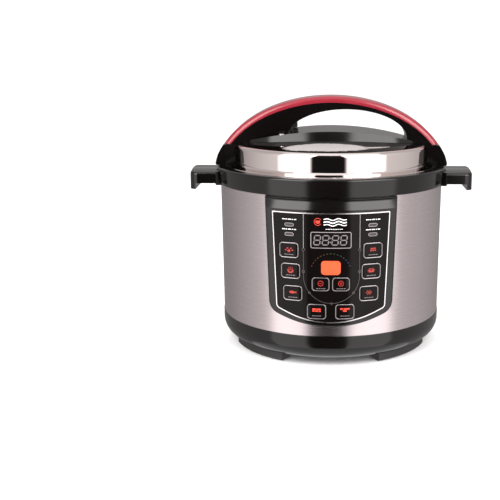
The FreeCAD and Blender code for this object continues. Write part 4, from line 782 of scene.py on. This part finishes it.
# Silicone seal: a soft translucent ring, milky, that fits inside the lid, and a small one on the float.
milky_silicone, tree, shader, place = finish_named("milky_silicone", IOR=1.41, Subsurface_Weight=0.3)
shader.inputs["Subsurface Scale"].default_value = 0.004
cure = add(tree, "ShaderNodeTexNoise", values={"Scale": 90.0, "Detail": 3.0}, links={"Vector": place})
shade = add(tree, "ShaderNodeMix", {"data_type": "RGBA"}, links={0: cure.outputs["Fac"]})
shade.inputs[6].default_value = linear("#D9D8D2")
shade.inputs[7].default_value = linear("#ECEBE7")
gloss = add(tree, "ShaderNodeMapRange", values={"To Min": 0.35, "To Max": 0.5},
            links={"Value": cure.outputs["Fac"]})
tree.links.new(shade.outputs[2], shader.inputs["Base Color"])
tree.links.new(gloss.outputs["Result"], shader.inputs["Roughness"])
dress(milky_silicone, "sealing_gasket", "float_seal")


# Handle cover: a red ABS strip clipped over the top of the arched handle, high gloss from the mould.

# Red ABS: clear deep red with a tinted clear coat and a soft 12 mm ripple.
red_abs, tree, shader, place = finish_named("high_gloss_red_abs", IOR=1.5, Coat_Weight=0.25,
                                            Coat_Roughness=0.12)
ripple = add(tree, "ShaderNodeTexNoise", values={"Scale": 85.0, "Detail": 1.0}, links={"Vector": place})
shade = add(tree, "ShaderNodeMix", {"data_type": "RGBA"}, links={0: ripple.outputs["Fac"]})
shade.inputs[6].default_value = linear("#7A1724")
shade.inputs[7].default_value = linear("#861D2B")
gloss = add(tree, "ShaderNodeMapRange", values={"To Min": 0.18, "To Max": 0.26},
            links={"Value": ripple.outputs["Fac"]})
tree.links.new(shade.outputs[2], shader.inputs["Base Color"])
tree.links.new(gloss.outputs["Result"], shader.inputs["Roughness"])
dress(red_abs, "lid_handle_cover")


# Steam valve knob: a small lever cap of matt black plastic that drops over the weight and turns with
# a finger. It has the same spark texture as the feet, so that fingers don't slip on it.
dress(spark_black, "vent_knob")


# Condensate box: a clear moulded cup that slides on two rails at the back and catches drips.

# Clear polycarbonate: colourless, lightly frosted by its tool.
clear_cup, tree, shader, place = finish_named("clear_polycarbonate", IOR=1.58, Transmission_Weight=0.85)
mist = add(tree, "ShaderNodeTexNoise", values={"Scale": 120.0, "Detail": 3.0}, links={"Vector": place})
shade = add(tree, "ShaderNodeMix", {"data_type": "RGBA"}, links={0: mist.outputs["Fac"]})
shade.inputs[6].default_value = linear("#DDE2E4")
shade.inputs[7].default_value = linear("#F2F4F5")
gloss = add(tree, "ShaderNodeMapRange", values={"To Min": 0.08, "To Max": 0.2},
            links={"Value": mist.outputs["Fac"]})
tree.links.new(shade.outputs[2], shader.inputs["Base Color"])
tree.links.new(gloss.outputs["Result"], shader.inputs["Roughness"])
dress(clear_cup, "condensate_box")


# Studio: a white floor and room, two large soft lights, and a tall paper drum round the set that only
# shows as what the steel and the gloss plastic reflect. The camera stands in front, a little above.


def studio_sheet(name, grid, wrap):
    """A sheet through a grid of points; the last column joins the first when it wraps."""
    rows, columns = grid.shape[:2]
    index = np.arange(rows * columns).reshape(rows, columns)
    if wrap:
        index = np.concatenate([index, index[:, :1]], 1)
    quads = np.stack([index[:-1, :-1], index[:-1, 1:], index[1:, 1:], index[1:, :-1]], -1).reshape(-1, 4)
    mesh = bpy.data.meshes.new(name)
    mesh.from_pydata(grid.reshape(-1, 3).tolist(), [], quads.tolist())
    sheet = bpy.data.objects.new(name, mesh)
    scene.collection.objects.link(sheet)
    return sheet


floor_reach = 6.0
floor_lines = np.linspace(-floor_reach, floor_reach, 9)
floor_x, floor_y = np.meshgrid(floor_lines, floor_lines)
floor = studio_sheet("floor", np.stack([floor_x, floor_y, np.zeros_like(floor_x)], -1), False)
floor_paint, tree, shader, place = finish_named("white_floor_paint", Roughness=0.8)
shader.inputs["Base Color"].default_value = linear("#FBFBFB")
floor.data.materials.append(floor_paint)
floor.visible_glossy = False

drum_radius = 1.3
drum_turn = np.linspace(0, 2 * np.pi, 96, endpoint=False)
drum_z, drum_angle = np.meshgrid(np.array([-1.2, 0.0, 1.0, 2.4]), drum_turn, indexing="ij")
drum_grid = np.stack([drum_radius * np.sin(drum_angle), -drum_radius * np.cos(drum_angle), drum_z], -1)
paper_drum = studio_sheet("paper_drum", drum_grid, True)
paper_drum.visible_camera = False
paper_drum.visible_diffuse = False
paper_drum.visible_shadow = False
paper_drum.visible_transmission = False
drum_paper = bpy.data.materials.new("studio_drum_paper")
drum_paper.use_nodes = True
tree = drum_paper.node_tree
tree.nodes.clear()
place = add(tree, "ShaderNodeTexCoord").outputs["Object"]
axes = add(tree, "ShaderNodeSeparateXYZ", links={"Vector": place})
back = add(tree, "ShaderNodeMath", {"operation": "MULTIPLY"}, {1: -1.0}, {0: axes.outputs["Y"]})
turn = add(tree, "ShaderNodeMath", {"operation": "ARCTAN2"},
           links={0: axes.outputs["X"], 1: back.outputs[0]})
share = add(tree, "ShaderNodeMapRange", values={"From Min": -math.pi, "From Max": math.pi},
            links={"Value": turn.outputs[0]})
low_band = [(-180, 0.36), (-150, 0.3), (-123, 0.4), (-82, 0.72), (-63, 0.85), (-59, 2.05), (-25, 2.05),
            (-21, 0.01), (15, 0.01), (19, 2.05), (61, 2.05), (65, 0.8), (98, 0.68), (150, 0.34), (180,
                                                                                                  0.36)]
high_band = [(-180, 0.9), (-130, 0.5), (-84, 0.6), (-62, 0.9), (-58, 7.0), (-25, 7.0), (-21, 0.02),
             (15, 0.02),
             (20, 7.0), (61, 7.0), (66, 0.9), (130, 0.5), (180, 0.9)]
drum_peak = 8.0
bands = []
for stops in (low_band, high_band):
    ramp = add(tree, "ShaderNodeValToRGB", links={"Fac": share.outputs["Result"]})
    elements = ramp.color_ramp.elements
    while len(elements) < len(stops):
        elements.new(0.5)
    for element, (degrees, level) in zip(elements, stops):
        element.position = (degrees + 180) / 360
        element.color = (level / drum_peak, level * 0.965 / drum_peak, level * 0.955 / drum_peak, 1)
    bands.append(ramp.outputs["Color"])
rise = add(tree, "ShaderNodeMapRange", {"interpolation_type": "SMOOTHSTEP"},
           {"From Min": 0.45, "From Max": 0.6}, {"Value": axes.outputs["Z"]})
blend = add(tree, "ShaderNodeMix", {"data_type": "RGBA"},
            links={0: rise.outputs["Result"], 6: bands[0], 7: bands[1]})
glow = add(tree, "ShaderNodeEmission", values={"Strength": drum_peak}, links={"Color": blend.outputs[2]})
add(tree, "ShaderNodeOutputMaterial", links={"Surface": glow.outputs[0]})
paper_drum.data.materials.append(drum_paper)

light_reach = 1.5
light_height = 1.5
light_aim_z = 0.15
for light_name, light_x, light_power in (("soft_light_left", -1.1, 40.0), ("soft_light_right", 1.1, 36.0)):
    light = bpy.data.lights.new(light_name, "AREA")
    light.shape = "RECTANGLE"
    light.size = 1.2
    light.size_y = 1.4
    light.energy = light_power
    light.color = (1.0, 0.985, 0.98)
    holder = bpy.data.objects.new(light_name, light)
    scene.collection.objects.link(holder)
    holder.location = (light_x, -light_reach, light_height)
    aim = (-light_x, light_reach, light_aim_z - light_height)
    holder.rotation_mode = "QUATERNION"
    holder.rotation_quaternion = Vector(aim).to_track_quat("-Z", "Y")
    holder.visible_glossy = False
    holder.visible_camera = False

world = bpy.data.worlds.new("white_room")
world.use_nodes = True
world.node_tree.nodes["Background"].inputs["Color"].default_value = (1.0, 0.995, 0.995, 1)
world.node_tree.nodes["Background"].inputs["Strength"].default_value = 1.2
scene.world = world

camera_tilt_deg = 12.4
camera_roll_deg = -0.26
camera_data = bpy.data.cameras.new("camera")
camera_data.lens = 67.6
camera_data.sensor_width = 36.0
camera_data.shift_x = -0.1638
camera_data.shift_y = -0.016
camera = bpy.data.objects.new("camera", camera_data)
scene.collection.objects.link(camera)
camera.location = (0.0, -1.206, 0.391)
camera.rotation_euler = (math.radians(90 - camera_tilt_deg), math.radians(camera_roll_deg), 0.0)
scene.camera = camera
